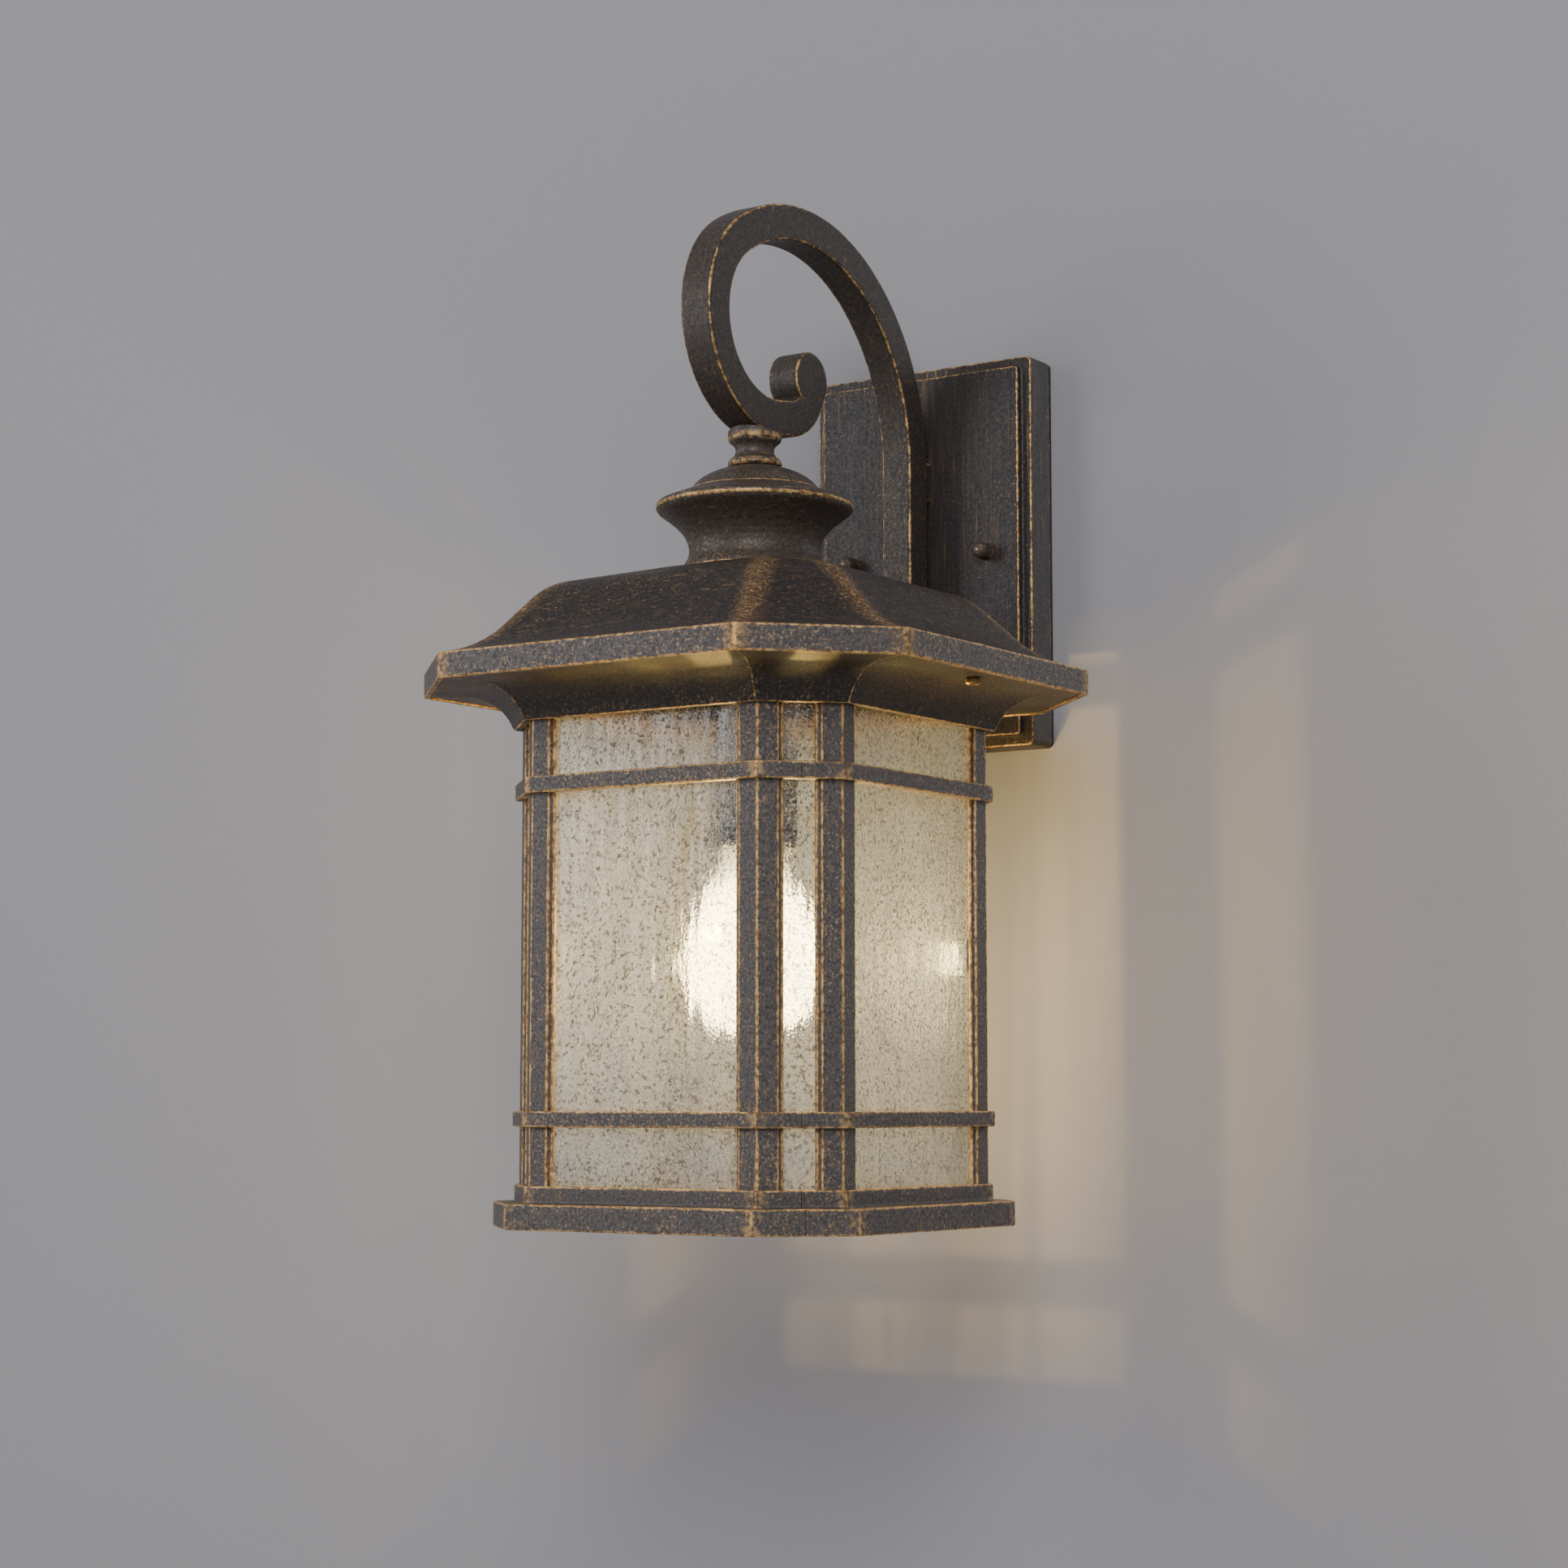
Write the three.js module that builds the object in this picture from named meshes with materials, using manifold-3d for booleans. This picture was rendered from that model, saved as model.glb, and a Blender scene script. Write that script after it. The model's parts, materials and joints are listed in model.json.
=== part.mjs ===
// Outdoor wall lantern: a scroll arm on a rectangular wall plate carries an eight-sided
// glazed lantern under a bell-cast roof. Millimetres, +Z up. The wall is the plane y = 0, the
// lantern stands out towards -Y, and the origin is the middle of the wall bracket's back face.
import * as THREE from "three";
import { mergeVertices } from "three/addons/utils/BufferGeometryUtils.js";
import Module from "manifold-3d";

const wasm = await Module();
wasm.setup();

// ---------------------------------------------------------------- driving dimensions
const GAP = 0.3; // clearance left between pieces that touch
const REACH = 167; // wall to the lantern's vertical axis

// The lantern's plan is a square with cut corners. Every moulding is that outline at an offset.
const HALF = 85; // half of the body across flats
const CORNER_CUT = 25.8; // leg of the cut corner
const SEAM = 0.3; // gap where two castings meet in the middle of a cut corner

// Heights, measured from the middle of the wall plate.
const BASE_BOTTOM = -318;
const BASE_TOP = -307;
const TIER_TOP = -299.5;
const LOWER_BAND = [-274.4, -267.6];
const UPPER_BAND = [-130.2, -122.9];
const RAIL_TOP = -88.4;
const COVE_BOTTOM = -98.4;
const FASCIA_BOTTOM = -83.1;
const FASCIA_TOP = -71.7;
const ROOF_SEAT = -26.5; // flat on top of the roof, under the cap

// Side frames (castings).
const FRAME_SKIN = 2.6; // thickness of a post's flange
const FACE_FLANGE = 9.3; // post flange on a main face
const CORNER_FLANGE = 9.2; // post flange on a cut corner
const LIP = 1.5; // recessed lip along the glass
const BAND_PROUD = 3.1;
const TIER_PROUD = 2.1;
const RIM_PROUD = 11;
const RIM_SKIN = 3.4;
const LEDGE = -14; // inner edge of the ledge that carries the glass

// Glass.
const PANE_THICK = 3;
const WIDE_PANE_HALF = 54.5;
const NARROW_PANE_HALF = 14;
const PANE_BOTTOM = BASE_TOP + 0.5;
const PANE_TOP = RAIL_TOP - 3.1;

// Roof and eaves tray.
const FASCIA_PROUD = 43;
const ROOF_SKIN = 2.8;
const SHOULDER = { offset: -17, z: -34.9 };
const SEAT_HALF = 34;
const TRAY_SKIN = 3;
const COVE = { offset: 25.3, z: -105.3, radius: 22.3 };
const EAVE_SCREW_X = 113;

// Scroll arm: a bar bent in the plane x = 0. LEG_Y is the bar's middle line beside the wall plate.
const BAR_WIDE = 16;
const BAR_DEEP = 16.4;
const LEG_Y = -37.4;
const LEG_BOTTOM = -54;
const LEG_TOP = 42;
const SWEEPS = [
  { radius: 97, turn: 122 },
  { radius: 43, turn: 156 },
  { line: 10 },
  { radius: 21.5, turn: 85 },
];
const CURL = { y: -131.5, z: 67.5, radius: 13 };
const BORE = 3.4; // wire way through the arm
const ARM_SCREW_Z = [37, -43];
const WIRE_ENTRY_Z = -30;
const TERMINAL_TOP = -53; // the connector inside the wall plate

// Wall plate.
const PLATE = { halfX: 60.7, halfZ: 94.5, back: -1.8, ledge: -20.5, front: -24.5, corner: 3 };
const FIELD_INSET = 5.1;
const PLATE_SKIN = 3;
const STUD_X = 38;
const NUT = { radius: 4, length: 9 };

// Middle of the lantern.
const NIPPLE = { outer: 5, inner: 3.6, top: 40, bottom: -106 };
const CLEAR_NIPPLE = 5.4;
const LEAD_RADIUS = 2.5;

// ---------------------------------------------------------------- materials
const finish = (color, roughness, metalness, opacity = 1) =>
  new THREE.MeshStandardMaterial({
    color, roughness, metalness, opacity, transparent: opacity < 1,
  });
const bronze = finish(0x37322e, 0.55, 0.7);
const seededGlass = finish(0xdcdad2, 0.08, 0, 0.35);
const opalGlass = finish(0xfff0cc, 0.3, 0, 0.9);
const zinc = finish(0xa9abad, 0.4, 0.9);
const brass = finish(0xb08a45, 0.35, 0.9);
const bakelite = finish(0x1c1b1a, 0.5, 0);
const nylon = finish(0xe6e4de, 0.6, 0);
const foam = finish(0x26262a, 0.95, 0);
const silicone = finish(0x8d2f22, 0.7, 0);

// ---------------------------------------------------------------- solids
// A closed geometry as a manifold solid, turned the right way out.
function solid(geometry) {
  const plain = geometry.index ? geometry.toNonIndexed() : geometry;
  const bare = new THREE.BufferGeometry();
  bare.setAttribute("position", plain.getAttribute("position").clone());
  const merged = mergeVertices(bare, 1e-4);
  const build = (triVerts) =>
    new wasm.Manifold(
      new wasm.Mesh({
        numProp: 3,
        vertProperties: merged.getAttribute("position").array,
        triVerts,
      }),
    );
  const made = build(new Uint32Array(merged.index.array));
  return made.volume() < 0 ? build(new Uint32Array(merged.index.array).reverse()) : made;
}

function geometryOf(shape) {
  const mesh = shape.getMesh();
  const geometry = new THREE.BufferGeometry();
  geometry.setAttribute("position", new THREE.BufferAttribute(mesh.vertProperties, 3));
  geometry.setIndex(new THREE.BufferAttribute(mesh.triVerts, 1));
  geometry.computeVertexNormals();
  return geometry;
}

const join = (first, ...others) => others.reduce((a, b) => a.add(b), first);
const cut = (first, ...others) => others.reduce((a, b) => a.subtract(b), first);

// A box between two corners.
function block(low, high) {
  const size = high.map((h, i) => h - low[i]);
  const middle = high.map((h, i) => (h + low[i]) / 2);
  return solid(new THREE.BoxGeometry(...size).translate(...middle));
}

// A cylinder between z0 and z1, or between y0 and y1 when it lies along Y.
function post(radius, x, y, z0, z1, sides = 14) {
  const g = new THREE.CylinderGeometry(radius, radius, z1 - z0, sides);
  return solid(g.rotateX(Math.PI / 2).translate(x, y, (z0 + z1) / 2));
}
function pegAlongY(radius, x, z, y0, y1, sides = 14) {
  const g = new THREE.CylinderGeometry(radius, radius, Math.abs(y1 - y0), sides);
  return solid(g.translate(x, (y0 + y1) / 2, z));
}

// A turned piece: the profile lists [radius, z] and closes on itself.
function turned(profile, sides = 20) {
  const points = [...profile, profile[0]].map(([r, z]) => new THREE.Vector2(r, z));
  return solid(new THREE.LatheGeometry(points, sides).rotateX(Math.PI / 2));
}

function outline(points) {
  return new THREE.Shape(points.map(([a, b]) => new THREE.Vector2(a, b)));
}

// A flat outline in the X-Z plane, thickened from y0 to y1 (y1 < y0, towards the room).
function plateSolid(shape, y0, y1) {
  const g = new THREE.ExtrudeGeometry(shape, { depth: y0 - y1, bevelEnabled: false, curveSegments: 3 });
  return solid(g.rotateX(Math.PI / 2).translate(0, y0, 0));
}

function roundedRectangle(halfX, halfZ, radius) {
  const s = new THREE.Shape();
  const quarter = Math.PI / 2;
  s.absarc(halfX - radius, halfZ - radius, radius, 0, quarter, false);
  s.absarc(radius - halfX, halfZ - radius, radius, quarter, 2 * quarter, false);
  s.absarc(radius - halfX, radius - halfZ, radius, 2 * quarter, 3 * quarter, false);
  s.absarc(halfX - radius, radius - halfZ, radius, 3 * quarter, 4 * quarter, false);
  return s;
}

// A round bar along a smooth line through points.
function barAlong(points, radius, steps) {
  const section = new THREE.Shape();
  section.absarc(0, 0, radius, 0, 2 * Math.PI, false);
  const path = new THREE.CatmullRomCurve3(points, false, "centripetal");
  const options = { steps, extrudePath: path, curveSegments: 4 };
  return solid(new THREE.ExtrudeGeometry(section, options));
}

// Joins rings of points, one after another, into a closed skin. Rings with open ends get end caps.
function skin(rings, closed) {
  const position = [];
  const triangle = (...corners) => corners.forEach((c) => position.push(...c));
  const count = rings.length;
  const size = rings[0].length;
  for (let i = 0; i < (closed ? count : count - 1); i++) {
    const here = rings[i];
    const next = rings[(i + 1) % count];
    for (let j = 0; j < size; j++) {
      const k = (j + 1) % size;
      triangle(here[j], next[j], next[k]);
      triangle(here[j], next[k], here[k]);
    }
  }
  return { position, triangle };
}
function fromPositions(position) {
  const g = new THREE.BufferGeometry();
  g.setAttribute("position", new THREE.Float32BufferAttribute(position, 3));
  return solid(g);
}

// ---------------------------------------------------------------- the lantern's plan
const halfFlat = (offset) => HALF - CORNER_CUT + (Math.SQRT2 - 1) * offset;
const cornerReach = (offset) => (2 * HALF - CORNER_CUT) / Math.SQRT2 + offset;

// The eight corners of the outline at an offset, or of one with a given half width and cut.
function octagonOf(half, flat) {
  return [
    [-flat, -half], [flat, -half], [half, -flat], [half, flat],
    [flat, half], [-flat, half], [-half, flat], [-half, -flat],
  ];
}
const octagon = (offset) => octagonOf(HALF + offset, halfFlat(offset));

// A moulding swept right round the plan. The profile lists [offset, z] and closes on itself.
function ringMoulding(profile) {
  const rings = profile.map(([offset, z]) => octagon(offset).map(([x, y]) => [x, y, z]));
  return fromPositions(skin(rings, true).position);
}

// A moulding along one main face and half of the cut corner at each end of it.
function faceMoulding(profile) {
  const diagonal = Math.SQRT1_2;
  const station = [
    (o) => [-diagonal * cornerReach(o) + (diagonal * SEAM) / 2, -diagonal * cornerReach(o) - (diagonal * SEAM) / 2],
    (o) => [-halfFlat(o), -(HALF + o)],
    (o) => [halfFlat(o), -(HALF + o)],
    (o) => [diagonal * cornerReach(o) - (diagonal * SEAM) / 2, -diagonal * cornerReach(o) - (diagonal * SEAM) / 2],
  ];
  const rings = station.map((at) => profile.map(([o, z]) => [...at(o), z]));
  const { position, triangle } = skin(rings, false);
  const flat = profile.map(([o, z]) => new THREE.Vector2(o, z));
  const first = rings[0];
  const last = rings[rings.length - 1];
  for (const corners of THREE.ShapeUtils.triangulateShape(flat, [])) {
    const [a, b, c] = corners.sort((m, n) => m - n);
    triangle(first[a], first[b], first[c]);
    triangle(last[c], last[b], last[a]);
  }
  return fromPositions(position);
}

// ---------------------------------------------------------------- assembly tree
const part = new THREE.Group();
const lantern = new THREE.Group();
lantern.position.set(0, -REACH, 0);
part.add(lantern);

function add(parent, name, shape, material) {
  const mesh = new THREE.Mesh(geometryOf(shape), material.clone());
  mesh.name = name;
  parent.add(mesh);
  return mesh;
}

// ---------------------------------------------------------------- wall bracket and plate
const STRAP = { halfX: 50, halfZ: 12.5, front: -2.5 };

function wallBracket() {
  let strap = plateSolid(roundedRectangle(STRAP.halfX, STRAP.halfZ, 3), 0, STRAP.front);
  for (const side of [-1, 1]) {
    const slot = roundedRectangle(2.6, 6, 2.5);
    const slotCut = plateSolid(slot, 1, STRAP.front - 1).translate([side * 25, 0, 0]);
    strap = cut(strap, slotCut, pegAlongY(2.7, side * STUD_X, 0, 1, STRAP.front - 1));
  }
  return cut(strap, pegAlongY(2.2, 14, -7, 1, STRAP.front - 1));
}

function bracketStud(side) {
  const x = side * STUD_X;
  const shank = pegAlongY(2.4, x, 0, -GAP, PLATE.front - 7.5);
  return join(shank, pegAlongY(4.2, x, 0, STRAP.front - GAP, STRAP.front - 1.8));
}

function capNut(side) {
  const x = side * STUD_X;
  const back = PLATE.front - GAP;
  const body = pegAlongY(NUT.radius, x, 0, back, back - NUT.length + 1.2, 24);
  const crown = solid(
    new THREE.CylinderGeometry(NUT.radius, NUT.radius - 1.2, 1.2, 24).translate(x, back - NUT.length + 0.6, 0),
  );
  return cut(join(body, crown), pegAlongY(2.65, x, 0, back + 1, back - 8));
}

function backplate() {
  const { halfX, halfZ, back, ledge, front, corner } = PLATE;
  const block1 = plateSolid(roundedRectangle(halfX, halfZ, corner), back, ledge);
  const inset = FIELD_INSET;
  const field = plateSolid(roundedRectangle(halfX - inset, halfZ - inset, corner), ledge + 1, front);
  const hollow = plateSolid(
    roundedRectangle(halfX - PLATE_SKIN, halfZ - PLATE_SKIN, 3), back + 1, ledge + PLATE_SKIN,
  );
  const upper = plateSolid(
    roundedRectangle(halfX - inset - PLATE_SKIN, halfZ - inset - PLATE_SKIN, 3),
    ledge + PLATE_SKIN + 1, front + PLATE_SKIN,
  );
  let plate = cut(join(block1, field), hollow, upper);
  for (const side of [-1, 1]) plate = cut(plate, pegAlongY(2.9, side * STUD_X, 0, 0, front - 1));
  for (const z of ARM_SCREW_Z) plate = cut(plate, pegAlongY(2.7, 0, z, 0, front - 1));
  return cut(plate, pegAlongY(4.2, 0, WIRE_ENTRY_Z, 0, front - 1));
}

function backplateGasket() {
  const { halfX, halfZ, back, corner } = PLATE;
  const ring = plateSolid(roundedRectangle(halfX - 0.2, halfZ - 0.2, corner), 0, back + GAP);
  return cut(ring, plateSolid(roundedRectangle(halfX - 4.5, halfZ - 4.5, 2), 1, back - 1));
}

function terminalBlock() {
  const middle = -10;
  let body = block([-13, middle - 6, TERMINAL_TOP - 13], [13, middle + 6, TERMINAL_TOP]);
  for (const x of [-8.5, 8.5]) {
    body = cut(body, post(1.8, x, middle, TERMINAL_TOP - 14, TERMINAL_TOP + 1, 10));
    body = cut(body, pegAlongY(1.6, x, TERMINAL_TOP - 4, middle, middle - 7, 10));
  }
  return body;
}

function earthScrew() {
  const head = pegAlongY(3.6, 14, -7, STRAP.front - GAP, STRAP.front - 2.4);
  return join(head, pegAlongY(1.9, 14, -7, -GAP, STRAP.front - GAP - 0.1));
}

function armScrew(z) {
  const seat = PLATE.front + PLATE_SKIN + GAP;
  const head = pegAlongY(4.4, 0, z, seat, seat + 3);
  return join(head, pegAlongY(2.4, 0, z, seat + 1, -33));
}

// ---------------------------------------------------------------- scroll arm
// Points along the bar's middle line, each with its heading in degrees from +Y towards +Z.
function armLine(degreesPerStep) {
  const line = [];
  let y = LEG_Y;
  let z = LEG_BOTTOM;
  let heading = 90;
  const rad = THREE.MathUtils.degToRad;
  const push = () => line.push({ y, z, heading });
  push();
  for (const sweep of [{ line: LEG_TOP - LEG_BOTTOM }, ...SWEEPS]) {
    if (sweep.line) {
      y += Math.cos(rad(heading)) * sweep.line;
      z += Math.sin(rad(heading)) * sweep.line;
      push();
      continue;
    }
    const steps = Math.ceil(sweep.turn / degreesPerStep);
    const cy = y + sweep.radius * Math.cos(rad(heading + 90));
    const cz = z + sweep.radius * Math.sin(rad(heading + 90));
    const start = heading;
    for (let i = 1; i <= steps; i++) {
      heading = start + (sweep.turn * i) / steps;
      y = cy + sweep.radius * Math.cos(rad(heading - 90));
      z = cz + sweep.radius * Math.sin(rad(heading - 90));
      push();
    }
  }
  return line;
}

// A side outline in the Y-Z plane, made BAR_WIDE thick about x = 0.
function sidewise(shape, wide) {
  const g = new THREE.ExtrudeGeometry(shape, { depth: wide, bevelEnabled: false, curveSegments: 8 });
  const turn = new THREE.Matrix4().makeBasis(
    new THREE.Vector3(0, 1, 0), new THREE.Vector3(0, 0, 1), new THREE.Vector3(1, 0, 0),
  );
  return solid(g.applyMatrix4(turn).translate(-wide / 2, 0, 0));
}

// The wire way: in through the lower boss, up the leg, round the scroll and down the neck.
function wireWay(entry, zEnd) {
  const bend = 5;
  const points = [...entry, [-22, WIRE_ENTRY_Z], [LEG_Y + 2 * bend, WIRE_ENTRY_Z]];
  points.push([LEG_Y + 1.5, WIRE_ENTRY_Z + 1.5], [LEG_Y, WIRE_ENTRY_Z + 2 * bend], [LEG_Y, 0], [LEG_Y, 21]);
  for (const p of armLine(12)) {
    if (p.heading > 335) break;
    if (p.z > LEG_TOP - 1) points.push([p.y, p.z]);
  }
  points.push([-REACH - 8, 46.4], [-REACH - 2.2, 43.6], [-REACH, 38], [-REACH, 30], [-REACH, zEnd]);
  return points.map(([y, z]) => new THREE.Vector3(0, y, z));
}

// The bent bar without its ends, grown by a margin all round its edge.
function bentBar(margin, wide) {
  const line = armLine(9);
  const rad = THREE.MathUtils.degToRad;
  const half = BAR_DEEP / 2 + margin;
  const side = (p, way) => [
    p.y + way * half * Math.sin(rad(p.heading)), p.z - way * half * Math.cos(rad(p.heading)),
  ];
  const edges = [...line.map((p) => side(p, 1)), ...line.map((p) => side(p, -1)).reverse()];
  return sidewise(outline(edges), wide);
}

function scrollArm() {
  const bar = bentBar(0, BAR_WIDE);
  const round = (y, z, radius) => {
    const g = new THREE.CylinderGeometry(radius, radius, BAR_WIDE, 28);
    return solid(g.rotateZ(Math.PI / 2).translate(0, y, z));
  };
  const curl = round(CURL.y, CURL.z, CURL.radius);
  const foot = round(LEG_Y, LEG_BOTTOM, BAR_DEEP / 2 - 0.02);
  const bossFront = LEG_Y + BAR_DEEP / 2 - 1;
  const bossBack = PLATE.front - GAP;
  const upperBoss = block([-7, bossFront, 27.5], [7, bossBack, 46.5]);
  const lowerBoss = block([-7, bossFront, -50], [7, bossBack, -22]);
  let arm = join(bar, curl, foot, upperBoss, lowerBoss);
  for (const z of ARM_SCREW_Z) arm = cut(arm, pegAlongY(2.7, 0, z, -20, -33.4));
  arm = cut(arm, post(CLEAR_NIPPLE, 0, -REACH, 30, NIPPLE.top + GAP, 24));
  // A cross drilling and a straight drilling up the leg open the tight corner of the wire way.
  arm = cut(arm, pegAlongY(BORE + 0.8, 0, WIRE_ENTRY_Z, -19, LEG_Y - BORE));
  arm = cut(arm, post(BORE, 0, LEG_Y, WIRE_ENTRY_Z - BORE, LEG_TOP));
  return cut(arm, barAlong(wireWay([[-19, WIRE_ENTRY_Z]], 26), BORE, 56));
}

// The lead rises from the terminal block, bends into the arm and ends in the lampholder.
const innerLead = () => {
  const rise = [[-10, TERMINAL_TOP + GAP], [-10, -43], [-12, -35], [-18, -30.4]];
  return barAlong(wireWay(rise, -112.5), LEAD_RADIUS, 64);
};

// ---------------------------------------------------------------- neck, cap and nipple
function neckFinial() {
  const blank = turned([
    [CLEAR_NIPPLE, 21], [11.2, 21], [12.3, 22.4], [12.1, 24.2], [9.6, 26], [8.7, 28.6], [9.4, 31],
    [11.9, 33], [12.2, 35.4], [12, 39.5], [CLEAR_NIPPLE, 39.5],
  ]);
  // The collar's top is scooped to sit under the scroll.
  return cut(blank, bentBar(GAP, 4 * BAR_WIDE).translate([0, REACH, 0]));
}

function topCap() {
  const outside = [
    [33, ROOF_SEAT + GAP], [32.4, -24.4], [30.2, -21.4], [29.6, -17.5], [30.4, -13], [32.8, -8.8],
    [36.6, -4.8], [41, -1.4], [43.9, 0.7], [44.7, 2.6], [44.2, 4.3], [42.4, 5.4], [36, 7.8],
    [29.6, 10.3], [28.4, 11.9], [25, 15.2], [20, 18.1], [14.5, 20.1], [12.3, 20.7], [CLEAR_NIPPLE, 20.7],
  ];
  const inside = [
    [CLEAR_NIPPLE, 17.4], [14, 16.9], [20, 14.6], [24.6, 10.6], [26.4, 6], [26.6, -10], [26.2, -18],
    [28.6, ROOF_SEAT + GAP],
  ];
  return turned([...outside, ...inside], 20);
}

const threadedNipple = () =>
  turned([
    [NIPPLE.inner, NIPPLE.bottom], [NIPPLE.outer, NIPPLE.bottom], [NIPPLE.outer, NIPPLE.top],
    [NIPPLE.inner, NIPPLE.top],
  ], 16);

const tubeShape = (inner, outer, low, high, sides) =>
  turned([[inner, low], [outer, low], [outer, high], [inner, high]], sides);

// ---------------------------------------------------------------- roof and eaves tray
// The roof's side from the shoulder to the eave: a round shoulder, a straight fall, a flared foot.
function ogee(inset) {
  const rad = THREE.MathUtils.degToRad;
  const shoulder = 34 - inset;
  const flare = 52.7 + inset;
  const [flat, steep, foot] = [11, 47, 8];
  const points = [];
  const shoulderCentre = [SHOULDER.offset - 34 * Math.sin(rad(flat)), SHOULDER.z - 34 * Math.cos(rad(flat))];
  for (let i = 0; i <= 4; i++) {
    const a = rad(flat + ((steep - flat) * i) / 4);
    points.push([shoulderCentre[0] + shoulder * Math.sin(a), shoulderCentre[1] + shoulder * Math.cos(a)]);
  }
  const flareCentre = [FASCIA_PROUD + 52.7 * Math.sin(rad(foot)), FASCIA_TOP + 52.7 * Math.cos(rad(foot))];
  for (let i = 0; i <= 5; i++) {
    const a = rad(steep + ((foot - steep) * i) / 5);
    points.push([flareCentre[0] - flare * Math.sin(a), flareCentre[1] - flare * Math.cos(a)]);
  }
  return points;
}

function roofShell() {
  const shoulderCut = halfFlat(SHOULDER.offset) / (HALF + SHOULDER.offset);
  const seatRing = (half, z) => octagonOf(half, half * shoulderCut).map(([x, y]) => [x, y, z]);
  const ring = ([offset, z]) => octagon(offset).map(([x, y]) => [x, y, z]);
  const outside = ogee(0);
  const inside = ogee(ROOF_SKIN).filter(([offset]) => offset < FASCIA_PROUD - ROOF_SKIN);
  const rings = [
    ring([FASCIA_PROUD, FASCIA_BOTTOM]),
    ...outside.reverse().map(ring),
    seatRing(SEAT_HALF, ROOF_SEAT),
    seatRing(12, ROOF_SEAT),
    seatRing(12, ROOF_SEAT - ROOF_SKIN),
    seatRing(SEAT_HALF - 0.6, ROOF_SEAT - ROOF_SKIN),
    ...inside.map(ring),
    ring([FASCIA_PROUD - ROOF_SKIN, FASCIA_TOP - 3.4]),
    ring([FASCIA_PROUD - ROOF_SKIN, FASCIA_BOTTOM]),
  ];
  let roof = fromPositions(skin(rings, true).position);
  roof = join(roof, tubeShape(CLEAR_NIPPLE, 13.5, ROOF_SEAT - ROOF_SKIN, ROOF_SEAT, 24));
  for (const side of [-1, 1]) {
    roof = join(roof, post(4.5, side * EAVE_SCREW_X, 0, -79.6, -68.4, 16));
    roof = cut(roof, post(2.3, side * EAVE_SCREW_X, 0, -81, -71.5, 16));
  }
  return roof;
}

function soffitTray() {
  const rad = THREE.MathUtils.degToRad;
  const onCove = (radius, degrees) => [
    COVE.offset + radius * Math.cos(rad(degrees)), COVE.z + radius * Math.sin(rad(degrees)),
  ];
  const inner = COVE.radius + TRAY_SKIN;
  const edge = FASCIA_PROUD - ROOF_SKIN - 0.6;
  const profile = [[edge, -82.4]];
  for (let a = 92; a <= 160; a += 8.5) profile.push(onCove(COVE.radius, a));
  profile.push([3.7, COVE_BOTTOM], [0.4, COVE_BOTTOM], [0.4, RAIL_TOP + GAP], [-16, RAIL_TOP + GAP]);
  profile.push([-16, RAIL_TOP + GAP + 2.5], [9.2, RAIL_TOP + GAP + 2.5]);
  for (const a of [128, 115, 102, 92]) profile.push(onCove(inner, a));
  profile.push([edge - 2.4, -79.6], [edge - 2.4, -75.4], [edge, -75.4]);
  let tray = ringMoulding(profile);
  for (const side of [-1, 1]) tray = cut(tray, post(2.4, side * EAVE_SCREW_X, 0, -90, -70, 16));
  for (const [x, y] of screwSpots(TRAY_SCREW_RING)) tray = cut(tray, post(2.2, x, y, -95, -80, 16));
  return tray;
}

function eaveScrew(side) {
  const x = side * EAVE_SCREW_X;
  const head = turned([[0, -86.3], [2.2, -86.2], [3.2, -85.3], [3.4, -83.5], [0, -83.5]], 20).translate([x, 0, 0]);
  return join(head, post(1.95, x, 0, -84, -73, 16));
}

// ---------------------------------------------------------------- cage
const TRAY_SCREW_RING = HALF - 10;
const screwSpots = (radius) => [[0, -radius], [radius, 0], [0, radius], [-radius, 0]];

// Plan of one post: an angle strip round a corner of the plan, with a lip along each pane.
function cornerPost(side) {
  const diagonal = Math.SQRT1_2;
  const along = (offset, onFace, reach) => {
    const x = halfFlat(offset);
    const y = -(HALF + offset);
    const point = onFace ? [x - reach, y] : [x + reach * diagonal, y + reach * diagonal];
    return [side * point[0], point[1]];
  };
  const half = -FRAME_SKIN / 2;
  const points = [
    along(0, true, FACE_FLANGE), along(0, true, 0), along(0, false, CORNER_FLANGE),
    along(half, false, CORNER_FLANGE), along(half, false, CORNER_FLANGE + LIP),
    along(-FRAME_SKIN, false, CORNER_FLANGE + LIP), along(-FRAME_SKIN, true, 0),
    along(-FRAME_SKIN, true, FACE_FLANGE + LIP), along(half, true, FACE_FLANGE + LIP),
    along(half, true, FACE_FLANGE),
  ];
  const low = TIER_TOP - 3;
  const shape = outline(side > 0 ? points : points.reverse());
  const g = new THREE.ExtrudeGeometry(shape, { depth: RAIL_TOP - 1 - low, bevelEnabled: false });
  return solid(g.translate(0, 0, low));
}

function band([low, high]) {
  const ease = 0.6;
  return faceMoulding([
    [BAND_PROUD - ease, low], [BAND_PROUD, low + ease], [BAND_PROUD, high - ease],
    [BAND_PROUD - ease, high], [-FRAME_SKIN, high], [-FRAME_SKIN, low],
  ]);
}

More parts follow.
